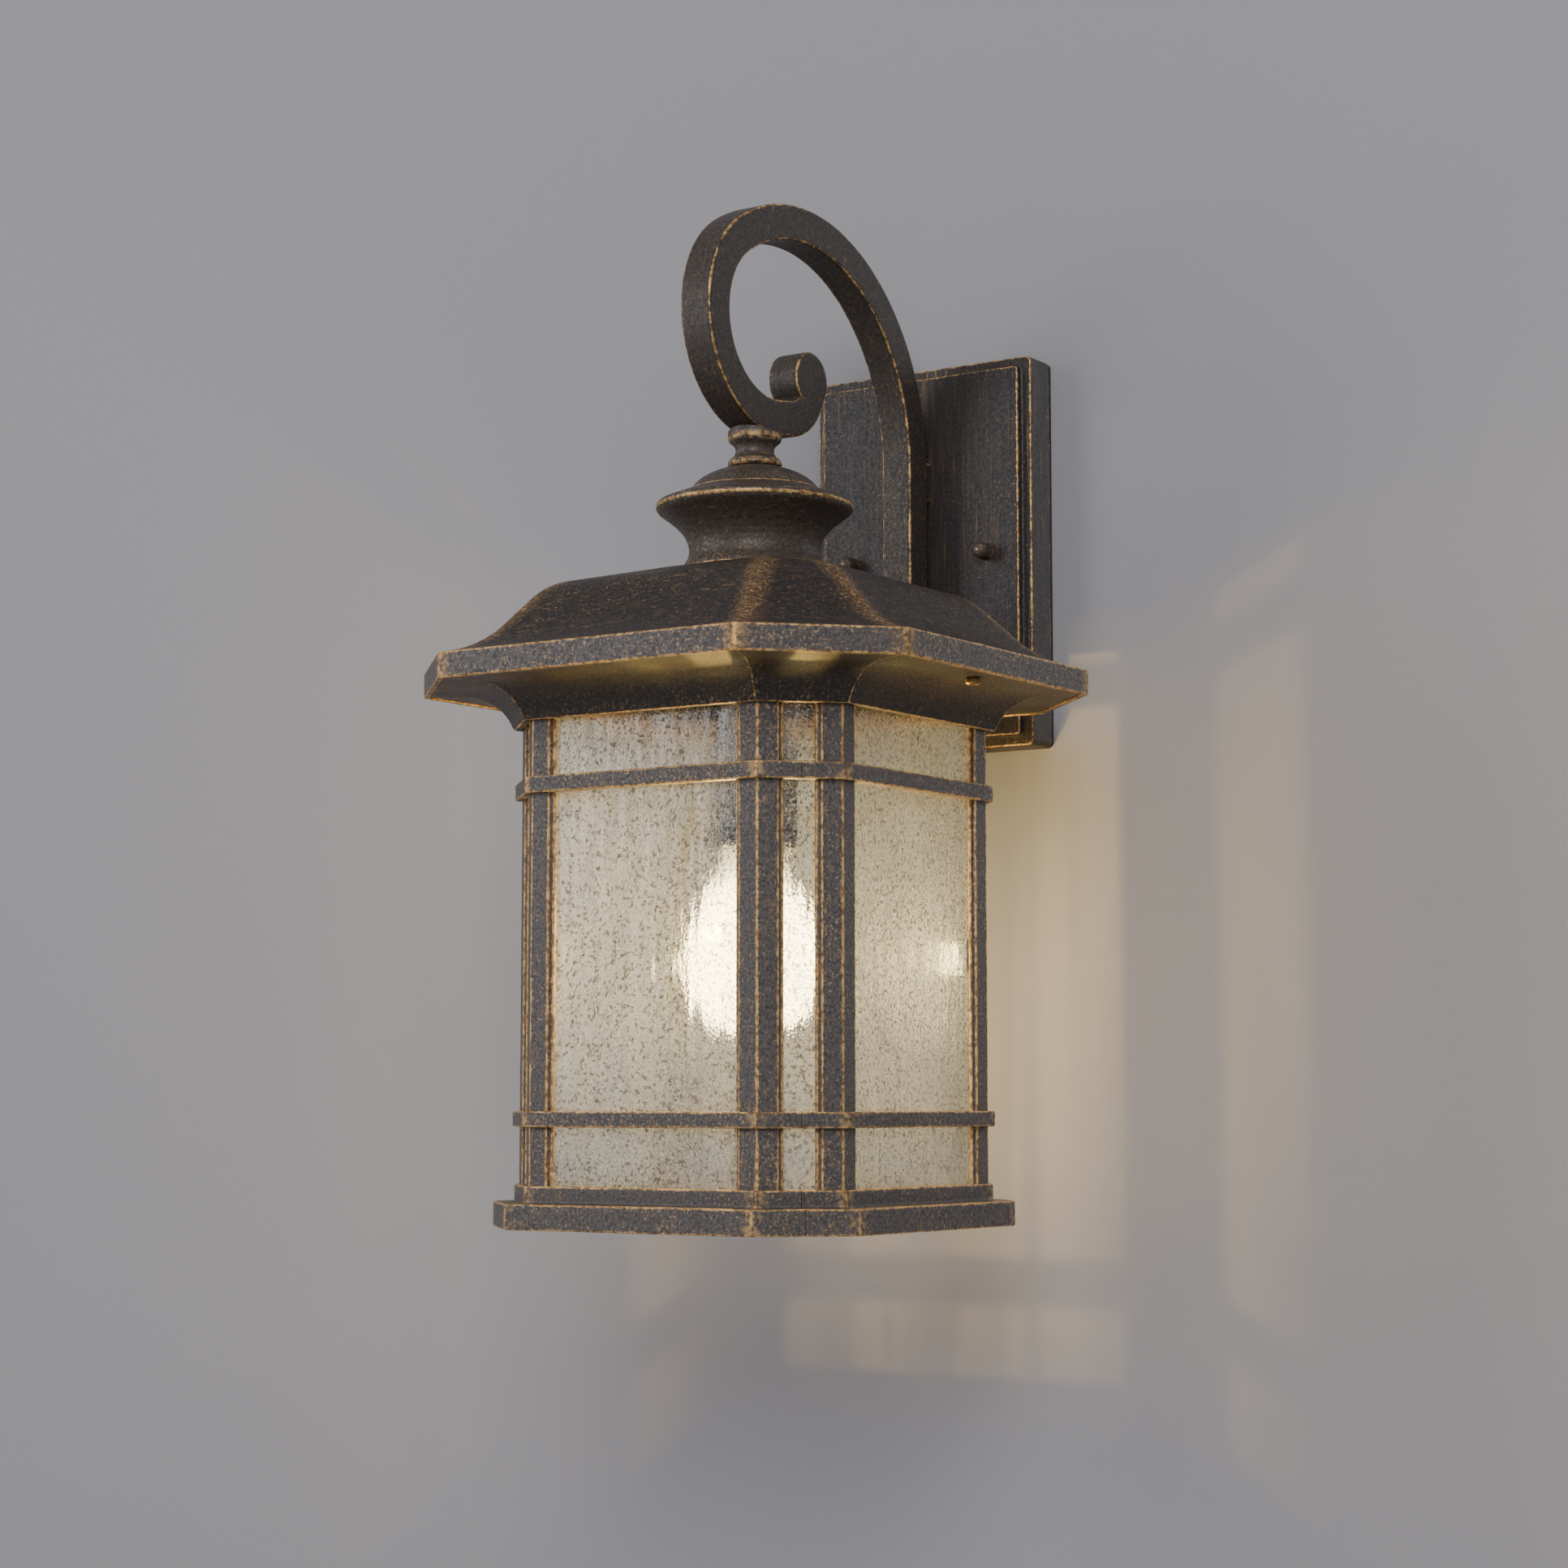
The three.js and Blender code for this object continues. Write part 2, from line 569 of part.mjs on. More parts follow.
function sideFrame() {
  const base = faceMoulding([
    [RIM_PROUD, BASE_BOTTOM], [RIM_PROUD, BASE_TOP - 1], [RIM_PROUD - 1, BASE_TOP],
    [TIER_PROUD, BASE_TOP + 0.3], [TIER_PROUD, TIER_TOP - 0.7], [TIER_PROUD - 0.7, TIER_TOP],
    [-FRAME_SKIN, TIER_TOP], [-FRAME_SKIN, BASE_TOP], [LEDGE, BASE_TOP], [LEDGE, BASE_TOP - 2.5],
    [RIM_PROUD - RIM_SKIN, BASE_TOP - 2.5], [RIM_PROUD - RIM_SKIN, BASE_BOTTOM],
  ]);
  const rail = faceMoulding([
    [0, RAIL_TOP - 8], [0, RAIL_TOP], [-16, RAIL_TOP], [-16, RAIL_TOP - 2.5],
    [-FRAME_SKIN, RAIL_TOP - 2.5], [-FRAME_SKIN, RAIL_TOP - 8],
  ]);
  const frame = join(base, rail, band(LOWER_BAND), band(UPPER_BAND), cornerPost(-1), cornerPost(1));
  const y = -TRAY_SCREW_RING;
  return cut(frame, post(2.2, 0, y, -95, -80, 16), post(1.8, 0, y, -315, -300, 16));
}

function pane(halfWidth, faceDistance) {
  const y = -(faceDistance - FRAME_SKIN - GAP);
  return block([-halfWidth, y, PANE_BOTTOM], [halfWidth, y + PANE_THICK, PANE_TOP]);
}

// A bent tab behind a corner of the plan that presses on both panes.
function glassClip(side) {
  const outer = -FRAME_SKIN - GAP - PANE_THICK - GAP;
  const wing = 7;
  const diagonal = Math.SQRT1_2;
  const at = (offset, onFace, reach) => {
    const x = halfFlat(offset);
    const y = -(HALF + offset);
    const point = onFace ? [x - reach, y] : [x + reach * diagonal, y + reach * diagonal];
    return [side * point[0], point[1]];
  };
  const points = [
    at(outer, true, wing), at(outer, true, 0), at(outer, false, wing),
    at(outer - 1.2, false, wing), at(outer - 1.2, true, 0), at(outer - 1.2, true, wing),
  ];
  const shape = outline(side > 0 ? points : points.reverse());
  const g = new THREE.ExtrudeGeometry(shape, { depth: 14, bevelEnabled: false });
  return solid(g.translate(0, 0, -206));
}

function basePan() {
  const shape = outline(octagon(RIM_PROUD - RIM_SKIN - 0.5));
  const low = BASE_TOP - 2.5 - GAP - 2;
  let pan = solid(new THREE.ExtrudeGeometry(shape, { depth: 2, bevelEnabled: false }).translate(0, 0, low));
  for (const [x, y] of screwSpots(TRAY_SCREW_RING)) pan = cut(pan, post(1.8, x, y, low - 1, low + 3, 16));
  for (const x of [-50, 50]) {
    for (const y of [-50, 50]) pan = cut(pan, post(3, x, y, low - 1, low + 3, 12));
  }
  return pan;
}

function screwUp(x, y, seat, shankTop, headRadius, shankRadius) {
  const head = turned([
    [0, seat - 2.2], [headRadius - 0.9, seat - 2.2], [headRadius, seat - 1.4], [headRadius, seat], [0, seat],
  ], 16).translate([x, y, 0]);
  return join(head, post(shankRadius, x, y, seat - 0.5, shankTop, 12));
}

// ---------------------------------------------------------------- lampholder and bulb
const lampholderCap = () =>
  turned([
    [CLEAR_NIPPLE, -96.4], [8.6, -96.4], [14, -98.6], [18, -103], [19.5, -109.5], [19.5, -114],
    [17.2, -114], [16.8, -106.5], [CLEAR_NIPPLE, -101],
  ], 20);

const lampholderBody = () =>
  turned([
    [3, -114.3], [18.6, -114.3], [18.6, -140], [16.6, -141], [16.6, -151], [13.7, -151],
    [13.7, -121.5], [3, -121.5],
  ], 20);

const lampholderRing = () =>
  turned([
    [17, -141.6], [19.4, -141.6], [19.8, -147], [21.3, -149], [21.3, -151.6], [17, -151.6],
  ], 20);

const bulbCap = () =>
  turned([
    [5, -125.6], [10.5, -125.9], [13.1, -128.6], [13.1, -150.4], [12.5, -150.4], [12.5, -129.4],
    [10, -127], [5, -126.5],
  ], 20);

const bulbContact = () => turned([[0, -127.4], [4.6, -127.4], [4.6, -124.6], [2.6, -123], [0, -122.6]], 16);

function bulbGlass() {
  const outer = [
    [12.1, -136], [12.1, -151], [13.6, -157], [17.6, -166], [22.6, -176], [27, -187], [29.4, -198],
    [29.6, -207], [27.6, -217], [22.8, -225.6], [15, -231], [7, -233.4], [0, -233.9],
  ];
  const inner = [
    [0, -232.6], [6.6, -232.1], [14.3, -229.8], [21.7, -224.7], [26.3, -216.5], [28.3, -207],
    [28.1, -198.2], [25.7, -187.4], [21.4, -176.6], [16.4, -166.5], [12.4, -157.4], [10.9, -151.2],
    [10.9, -136],
  ];
  return turned([...outer, ...inner], 16);
}

const bulbCore = () =>
  turned([[0, -134], [10, -134], [10, -137], [4, -140], [4, -168], [9, -172], [9, -212], [0, -212]], 16);

// ---------------------------------------------------------------- put together
add(part, "wall_bracket", wallBracket(), zinc);
add(part, "backplate", backplate(), bronze);
add(part, "backplate_gasket", backplateGasket(), foam);
add(part, "terminal_block", terminalBlock(), nylon);
add(part, "earth_screw", earthScrew(), brass);
add(part, "scroll_arm", scrollArm(), bronze);
add(part, "inner_lead", innerLead(), silicone);
ARM_SCREW_Z.forEach((z, i) => add(part, ["arm_screw_upper", "arm_screw_lower"][i], armScrew(z), zinc));
for (const [side, word] of [[-1, "left"], [1, "right"]]) {
  add(part, `bracket_stud_${word}`, bracketStud(side), zinc);
  add(part, `cap_nut_${word}`, capNut(side), bronze);
  add(lantern, `eave_screw_${word}`, eaveScrew(side), brass);
}

add(lantern, "neck_finial", neckFinial(), bronze);
add(lantern, "top_cap", topCap(), bronze);
add(lantern, "threaded_nipple", threadedNipple(), zinc);
add(lantern, "roof_shell", roofShell(), bronze);
add(lantern, "roof_washer", tubeShape(CLEAR_NIPPLE, 11, -31.2, -29.7, 24), zinc);
const nutBlank = turned([[0, -37], [8.6, -37], [8.6, -31.5], [0, -31.5]], 6);
add(lantern, "roof_nut", cut(nutBlank, post(CLEAR_NIPPLE, 0, 0, -38, -31, 24)), zinc);
add(lantern, "stem_cover", tubeShape(CLEAR_NIPPLE, 8, -96, -37.4, 24), bronze);
add(lantern, "soffit_tray", soffitTray(), bronze);

["front", "right", "back", "left"].forEach((face, turn) => {
  const quarter = new THREE.Group();
  quarter.rotation.z = (turn * Math.PI) / 2;
  lantern.add(quarter);
  const eighth = new THREE.Group();
  eighth.rotation.z = Math.PI / 4;
  quarter.add(eighth);
  add(quarter, `side_frame_${face}`, sideFrame(), bronze);
  add(quarter, `wide_pane_${face}`, pane(WIDE_PANE_HALF, HALF), seededGlass);
  add(eighth, `narrow_pane_${face}`, pane(NARROW_PANE_HALF, cornerReach(0)), seededGlass);
  for (const [side, word] of [[-1, "a"], [1, "b"]]) add(quarter, `glass_clip_${face}_${word}`, glassClip(side), zinc);
  const y = -TRAY_SCREW_RING;
  add(quarter, `tray_screw_${face}`, screwUp(0, y, RAIL_TOP - 2.5 - GAP, -83, 3.3, 1.9), zinc);
  add(quarter, `base_screw_${face}`, screwUp(0, y, BASE_TOP - 5.1, -305, 3, 1.5), bronze);
});
add(lantern, "base_pan", basePan(), bronze);

add(lantern, "lampholder_cap", lampholderCap(), bakelite);
add(lantern, "lampholder_body", lampholderBody(), bakelite);
add(lantern, "lampholder_ring", lampholderRing(), bakelite);
add(lantern, "bulb_cap", bulbCap(), brass);
add(lantern, "bulb_contact", bulbContact(), bakelite);
add(lantern, "bulb_glass", bulbGlass(), opalGlass);
add(lantern, "bulb_core", bulbCore(), nylon);

export default part;
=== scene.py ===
"""Looks for the outdoor wall lantern: fine meshes, worn bronze paint, seeded glass and a lit lamp.

Shapes are worked out in millimetres round the lantern's own axis and become metres when a mesh
is made. Every new mesh carries two point attributes that its paint reads: "edge", which is 1 on a
worn outward edge and fades to 0 over EDGE_REACH, and "ridge", which is 1 on the ridges of the roof
and the upright corners of the mouldings and fades to 0 over RIDGE_REACH. The finial's collars have
both.
"""

import json
import math

import bmesh
import bpy
import numpy as np
from mathutils import Matrix, Vector, noise


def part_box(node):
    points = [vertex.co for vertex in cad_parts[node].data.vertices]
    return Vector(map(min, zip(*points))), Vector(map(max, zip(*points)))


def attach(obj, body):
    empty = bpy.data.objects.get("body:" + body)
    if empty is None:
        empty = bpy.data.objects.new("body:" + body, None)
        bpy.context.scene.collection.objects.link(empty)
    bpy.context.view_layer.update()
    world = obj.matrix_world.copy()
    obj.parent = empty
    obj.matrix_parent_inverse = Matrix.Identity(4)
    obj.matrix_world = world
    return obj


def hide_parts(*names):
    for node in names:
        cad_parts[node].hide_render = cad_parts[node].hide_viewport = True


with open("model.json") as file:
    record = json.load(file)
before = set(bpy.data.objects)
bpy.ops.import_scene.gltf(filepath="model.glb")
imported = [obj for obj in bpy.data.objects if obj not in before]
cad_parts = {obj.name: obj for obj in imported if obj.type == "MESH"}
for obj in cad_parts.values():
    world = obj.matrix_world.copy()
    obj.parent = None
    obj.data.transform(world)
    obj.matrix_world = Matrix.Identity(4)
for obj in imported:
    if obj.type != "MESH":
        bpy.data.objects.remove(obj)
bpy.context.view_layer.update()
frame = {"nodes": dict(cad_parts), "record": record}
record = frame["record"]

MM = 0.001
EDGE_REACH = 12.0  # millimetres over which the edge attribute fades
RIDGE_REACH = 30.0
SHARP = math.radians(25)  # a smaller turn between two parts of an outline isn't rounded
ROUNDED_SHARE = 0.45  # a rounded corner takes up at most this share of a side
GRADED_SHARE = 0.42  # close divisions reach at most this share of a side from each end
ARC_STEPS = (0, 0.25, 0.5, 0.75, 1)
SIDE_NAMES = ("front", "right", "back", "left")  # in the order of quarter turns


def box_mm(node):
    """Lowest and highest corner of a CAD node, in millimetres."""
    low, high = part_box(node)
    return np.array(low) / MM, np.array(high) / MM


roof_low, roof_high = box_mm("roof_shell")
cage_low, _ = box_mm("side_frame_front")
_, tray_high = box_mm("soffit_tray")
plate_low, plate_high = box_mm("backplate")
arm_low, arm_high = box_mm("scroll_arm")

AXIS_Y = (roof_low[1] + roof_high[1]) / 2  # the lantern's vertical axis, in front of the wall
FASCIA_HALF = (roof_high[0] - roof_low[0]) / 2

# The lantern's plan: a square with cut corners, at offsets from the body's own face.
HALF = 85.0
CORNER_CUT = 25.8
SLANT = math.sqrt(0.5)
CUT_REACH = (2 * HALF - CORNER_CUT) * SLANT  # from the axis to the middle of a cut corner
SEAM = 0.3  # joint between two side castings, in the middle of a cut corner
FASCIA_PROUD = FASCIA_HALF - HALF
SHOULDER_OFFSET = -17.0


def flat_of(offset):
    """Half the length of a main side at an offset."""
    if offset < SHOULDER_OFFSET:
        at_shoulder = flat_of(SHOULDER_OFFSET) / (HALF + SHOULDER_OFFSET)
        return (HALF + offset) * at_shoulder
    return HALF - CORNER_CUT + (math.sqrt(2) - 1) * offset


def corners_of(offset):
    half, flat = HALF + offset, flat_of(offset)
    return np.array([
        (-flat, -half), (flat, -half), (half, -flat), (half, flat),
        (flat, half), (-flat, half), (-half, flat), (-half, -flat),
    ])


# ---- making meshes
def closeness(distance, reach):
    return float(np.clip(1 - distance / reach, 0, 1))


def placed(name, data):
    """A new object in the scene."""
    obj = bpy.data.objects.new(name, data)
    bpy.context.scene.collection.objects.link(obj)
    return obj


def piece(name, verts, faces, edge=None, ridge=None, at_axis=True):
    """A mesh object from points in millimetres, with its wear attributes."""
    points = np.array(verts, float)
    if at_axis:
        points = points + (0, AXIS_Y, 0)
    mesh = bpy.data.meshes.new(name)
    mesh.from_pydata((points * MM).tolist(), [], faces)
    for label, values in (("edge", edge), ("ridge", ridge)):
        values = np.zeros(len(points)) if values is None else np.array(values, float)
        mesh.attributes.new(label, "FLOAT", "POINT").data.foreach_set("value", values.ravel())
    made = bmesh.new()
    made.from_mesh(mesh)
    bmesh.ops.remove_doubles(made, verts=made.verts, dist=2e-6)
    bmesh.ops.recalc_face_normals(made, faces=made.faces)
    made.to_mesh(mesh)
    made.free()
    return placed(name, mesh)


def set_wear(obj, label, value_at):
    """Rewrites a wear attribute. value_at takes a point's distance to the axis and its height."""
    spots = [v.co / MM for v in obj.data.vertices]
    values = [value_at(math.hypot(x, y - AXIS_Y), z) for x, y, z in spots]
    obj.data.attributes[label].data.foreach_set("value", values)


def smooth(obj, angle=32):
    mesh = obj.data
    mesh.polygons.foreach_set("use_smooth", [True] * len(mesh.polygons))
    mesh.set_sharp_from_angle(angle=math.radians(angle))
    return obj


def join(obj, *others):
    """Adds other closed castings to obj, which keeps the wear attributes of them all."""
    with bpy.context.temp_override(active_object=obj, selected_editable_objects=[obj, *others]):
        bpy.ops.object.join()
    return obj


def cut(obj, *tools):
    """Cuts closed pieces out of obj, and removes them."""
    for tool in tools:
        step = obj.modifiers.new("cut", "BOOLEAN")
        step.operation = "DIFFERENCE"
        step.object = tool
        step.solver = "EXACT"
        bpy.context.view_layer.update()
        ready = obj.evaluated_get(bpy.context.evaluated_depsgraph_get())
        mesh = bpy.data.meshes.new_from_object(ready)
        obj.modifiers.clear()
        obj.data = mesh
        bpy.data.objects.remove(tool)
    return obj


def graded(length, fine=(0.8, 1.8, 3.2, 5.5, 9.0), coarse=14.0):
    """Distances that divide a run: close together near both ends, and wide in the middle."""
    ends = [d for d in fine if d < GRADED_SHARE * length]
    start = ends[-1] if ends else 0.0
    inner = length - 2 * start
    count = max(1, math.ceil(inner / coarse))
    middle = [start + inner * i / count for i in range(1, count)]
    if ends:
        middle = [*ends, *middle, *(length - d for d in reversed(ends))]
    return middle


def bezier(a, corner, b, t):
    return (1 - t) ** 2 * a + 2 * t * (1 - t) * corner + t * t * b


def rounded(points, radius):
    """A closed outline with rounded sharp corners, as rows of (a, b, distance to a worn corner)."""
    pts = [np.array(p, float) for p in points]
    area = sum(a[0] * b[1] - a[1] * b[0] for a, b in zip(pts, pts[1:] + pts[:1]))
    if area < 0:
        pts.reverse()
    worn, bends = [], []
    for i, here in enumerate(pts):
        back, ahead = here - pts[i - 1], pts[(i + 1) % len(pts)] - here
        reach = ROUNDED_SHARE * min(np.hypot(*back), np.hypot(*ahead))
        back, ahead = back / np.hypot(*back), ahead / np.hypot(*ahead)
        turn = math.atan2(back[0] * ahead[1] - back[1] * ahead[0], back @ ahead)
        if abs(turn) < SHARP:
            bends.append([here])
            continue
        if turn > 0:
            worn.append(here)
        t = min(radius * math.tan(abs(turn) / 2), reach)
        start, end = here - back * t, here + ahead * t
        bends.append([bezier(start, here, end, s) for s in ARC_STEPS])
    rows = []
    for i, bend in enumerate(bends):
        rows.extend(bend)
        a, b = bend[-1], bends[(i + 1) % len(bends)][0]
        length = np.hypot(*(b - a))
        rows.extend(a + (b - a) * d / length for d in graded(length))
    far = 10 * EDGE_REACH
    return [(p[0], p[1], min([np.hypot(*(p - w)) for w in worn], default=far)) for p in rows]


def grid_faces(rows, columns, wrap_rows, wrap_columns):
    faces = []
    for i in range(rows if wrap_rows else rows - 1):
        for j in range(columns if wrap_columns else columns - 1):
            k, n = (i + 1) % rows, (j + 1) % columns
            faces.append((i * columns + j, k * columns + j, k * columns + n, i * columns + n))
    return faces


def drawn_faces(rows, columns):
    """The faces of a closed outline drawn out over rows, with a face on each end."""
    last = (rows - 1) * columns
    ends = [tuple(reversed(range(columns))), tuple(last + i for i in range(columns))]
    return grid_faces(rows, columns, False, True) + ends


def along_sides(corners, bend, closed):
    """Points along an outline, each with its distance to the nearest eased corner.

    The two ends of an open outline stay sharp, and don't count as corners.
    """
    near = (2.0, 3.6, 6.0, 9.5)
    count = len(corners)
    sides = count if closed else count - 1
    rows = []
    for k in range(sides):
        a, b = corners[k], corners[(k + 1) % count]
        length = np.hypot(*(b - a))
        way = (b - a) / length
        scale = min(1.0, GRADED_SHARE * length / near[-1])
        ease = min(bend, 0.8 * near[0] * scale)
        starts_eased = closed or k > 0
        ends_eased = closed or k < sides - 1
        if starts_eased:
            before = corners[k - 1] - a
            before = before / np.hypot(*before)
            for t in ARC_STEPS:
                p = bezier(a + before * ease, a, a + way * ease, t)
                rows.append((*p, np.hypot(*(p - a))))
        else:
            rows.append((*a, length))
        spots = [d * scale for d in near]
        rest = length - 2 * spots[-1]
        middle = [spots[-1] + rest * f for f in (0.25, 0.5, 0.75)]
        for d in [*spots, *middle, *(length - s for s in reversed(spots))]:
            to_start = d if starts_eased else np.inf
            to_end = length - d if ends_eased else np.inf
            rows.append((*(a + way * d), min(to_start, to_end)))
    if not closed:
        rows.append((*corners[-1], length))
    return rows


def ring_moulding(name, profile, radius, bend, ridge_is_worn):
    """A moulding swept right round the lantern's plan.

    ridge_is_worn(offset, z) says where its upright corners count as worn edges.
    """
    rows = rounded(profile, radius)
    verts, edge, ridge = [], [], []
    for offset, z, worn in rows:
        for x, y, along in along_sides(corners_of(offset), bend, True):
            verts.append((x, y, z))
            nearest = min(worn, along) if ridge_is_worn(offset, z) else worn
            edge.append(closeness(nearest, EDGE_REACH))
            ridge.append(closeness(along, RIDGE_REACH))
    columns = len(verts) // len(rows)
    return piece(name, verts, grid_faces(len(rows), columns, True, True), edge, ridge)


def face_moulding(name, profile, radius, bend=0.9):
    """A moulding along the front side and half of the cut corner at each end of it."""
    rows = rounded(profile, radius)
    verts, edge, ridge = [], [], []
    for offset, z, worn in rows:
        reach = CUT_REACH + offset
        seam = (SLANT * (reach - SEAM / 2), -SLANT * (reach + SEAM / 2))
        line = np.array([(-seam[0], seam[1]), *corners_of(offset)[:2], seam])
        for x, y, along in along_sides(line, bend, False):
            verts.append((x, y, z))
            edge.append(closeness(min(worn, along), EDGE_REACH))
            ridge.append(closeness(along, RIDGE_REACH))
    count, columns = len(rows), len(verts) // len(rows)
    faces = grid_faces(count, columns, True, False)
    faces.append(tuple(i * columns for i in range(count)))
    faces.append(tuple(i * columns + columns - 1 for i in reversed(range(count))))
    return piece(name, verts, faces, edge, ridge)


def lathe(
    name, profile, centre=(0.0, 0.0), sides=72, radius=0.4, axis="z", ripple=None, at_axis=True,
):
    """A turned piece. ripple(r, z, angle) may change the radius, as for threads and ribs."""
    on_axis = [p for p in profile if p[0] <= 1e-6]
    rows = rounded(profile, radius)
    verts, edge = [], []
    for r, z, worn in rows:
        r = max(r, 0.0)
        for k in range(sides):
            angle = 2 * math.pi * k / sides
            wide = r if ripple is None else ripple(r, z, angle)
            x, y = wide * math.cos(angle), wide * math.sin(angle)
            if axis == "z":
                verts.append((centre[0] + x, centre[1] + y, z))
            else:
                verts.append((centre[0] + x, z, centre[1] + y))
            edge.append(closeness(worn, EDGE_REACH))
    faces = grid_faces(len(rows), sides, True, True)
    if on_axis:
        touching = {i for i, row in enumerate(rows) if row[0] <= 1e-6}
        faces = [f for f in faces if not {v // sides for v in f} <= touching]
    return piece(name, verts, faces, edge, at_axis=at_axis)


def extrude_up(name, profile, radius, low, high):
    """An outline in the plan, drawn up from low to high."""
    rows = rounded(profile, radius)
    levels = [low, *(low + d for d in graded(high - low, fine=(2, 5), coarse=25)), high]
    verts = [(x, y, z) for z in levels for x, y, _ in rows]
    edge = [closeness(worn, EDGE_REACH) for _ in levels for *_, worn in rows]
    return piece(name, verts, drawn_faces(len(levels), len(rows)), edge)


def block(name, low, high, radius):
    """A box whose four edges along Y are rounded, placed from the wall and not from the axis."""
    (x0, y0, z0), (x1, y1, z1) = low, high
    rows = rounded([(x0, z0), (x1, z0), (x1, z1), (x0, z1)], radius)
    verts = [(x, y, z) for y in (y0, y1) for x, z, _ in rows]
    edge = [closeness(worn, EDGE_REACH) for _ in range(2) for *_, worn in rows]
    return piece(name, verts, drawn_faces(2, len(rows)), edge, at_axis=False)


# ---- node helpers
def node(tree, kind, inputs=(), **settings):
    made = tree.nodes.new("ShaderNode" + kind)
    for key, value in settings.items():
        setattr(made, key, value)
    for key, value in dict(inputs).items():
        if isinstance(value, bpy.types.NodeSocket):
            tree.links.new(value, made.inputs[key])
        else:
            made.inputs[key].default_value = value
    return made


def math_node(tree, operation, a, b=0.0, clamp=False):
    return node(tree, "Math", {0: a, 1: b}, operation=operation, use_clamp=clamp).outputs[0]


def arithmetic(tree):
    """Short names for multiplying, adding and subtracting two node values."""
    def doing(operation):
        return lambda a, b: math_node(tree, operation, a, b)
    return doing("MULTIPLY"), doing("ADD"), doing("SUBTRACT")


def fade(tree, value, low, high, start=0.0, end=1.0):
    """Turns value from low to high into start to end, eased at both ends."""
    inputs = {"Value": value, "From Min": low, "From Max": high, "To Min": start, "To Max": end}
    return node(tree, "MapRange", inputs, interpolation_type="SMOOTHSTEP").outputs[0]


def mix(tree, share, a, b):
    made = node(tree, "Mix", data_type="RGBA")
    for index, value in ((0, share), (6, a), (7, b)):
        if isinstance(value, bpy.types.NodeSocket):
            tree.links.new(value, made.inputs[index])
        else:
            made.inputs[index].default_value = value if index == 0 else (*value, 1.0)
    return made.outputs[2]


def grain(tree, size_mm, detail=3.0, stretch=(1, 1, 1), seed=0.0):
    """Noise with features of about size_mm, drawn out along an axis by stretch."""
    where = node(tree, "TexCoord").outputs["Object"]
    scale = [1 / (MM * size_mm * s) for s in stretch]
    spot = node(tree, "Mapping", {"Vector": where, "Scale": scale, "Location": (seed, seed, seed)})
    made = node(tree, "TexNoise", {"Vector": spot.outputs[0], "Scale": 1.0, "Detail": detail})
    return made.outputs[0]


def material(name):
    made = bpy.data.materials.new(name)
    made.use_nodes = True
    made.node_tree.nodes.clear()
    return made, made.node_tree


def output(tree, shader):
    node(tree, "OutputMaterial", {"Surface": shader})


def bump(tree, height, strength, depth_mm):
    inputs = {"Height": height, "Strength": strength, "Distance": depth_mm * MM}
    return node(tree, "Bump", inputs).outputs[0]


# ---- materials
# Each paint has the tone of its hollows and the tone of its high grains.
CHARCOAL = ((0.028, 0.025, 0.024), (0.08, 0.073, 0.073))
WARM_CHARCOAL = ((0.0195, 0.0158, 0.0131), (0.062, 0.05, 0.041))
ARM_CHARCOAL = ((0.013, 0.0108, 0.0092), (0.042, 0.035, 0.03))
# Painted shade: the wall plate's tones are darkened well below the rest of the paint.
PLATE_SHADED_CHARCOAL = ((0.0105, 0.0088, 0.0088), (0.03, 0.0265, 0.0275))
# Painted shade: the darker brown-black tones of the roof above its fascia.
ROOF_TOP_SHADED_BROWN = ((0.0085, 0.0066, 0.0054), (0.026, 0.0205, 0.0168))
# Painted shade: the soffit under the roof has near-black tones.
SOFFIT_SHADED_BLACK = ((0.0055, 0.0046, 0.004), (0.0165, 0.014, 0.0122))
BROWN_RUB = (0.17, 0.09, 0.036)
DEEP_GOLD = (0.27, 0.135, 0.042)
PALE_GOLD = (0.64, 0.41, 0.165)


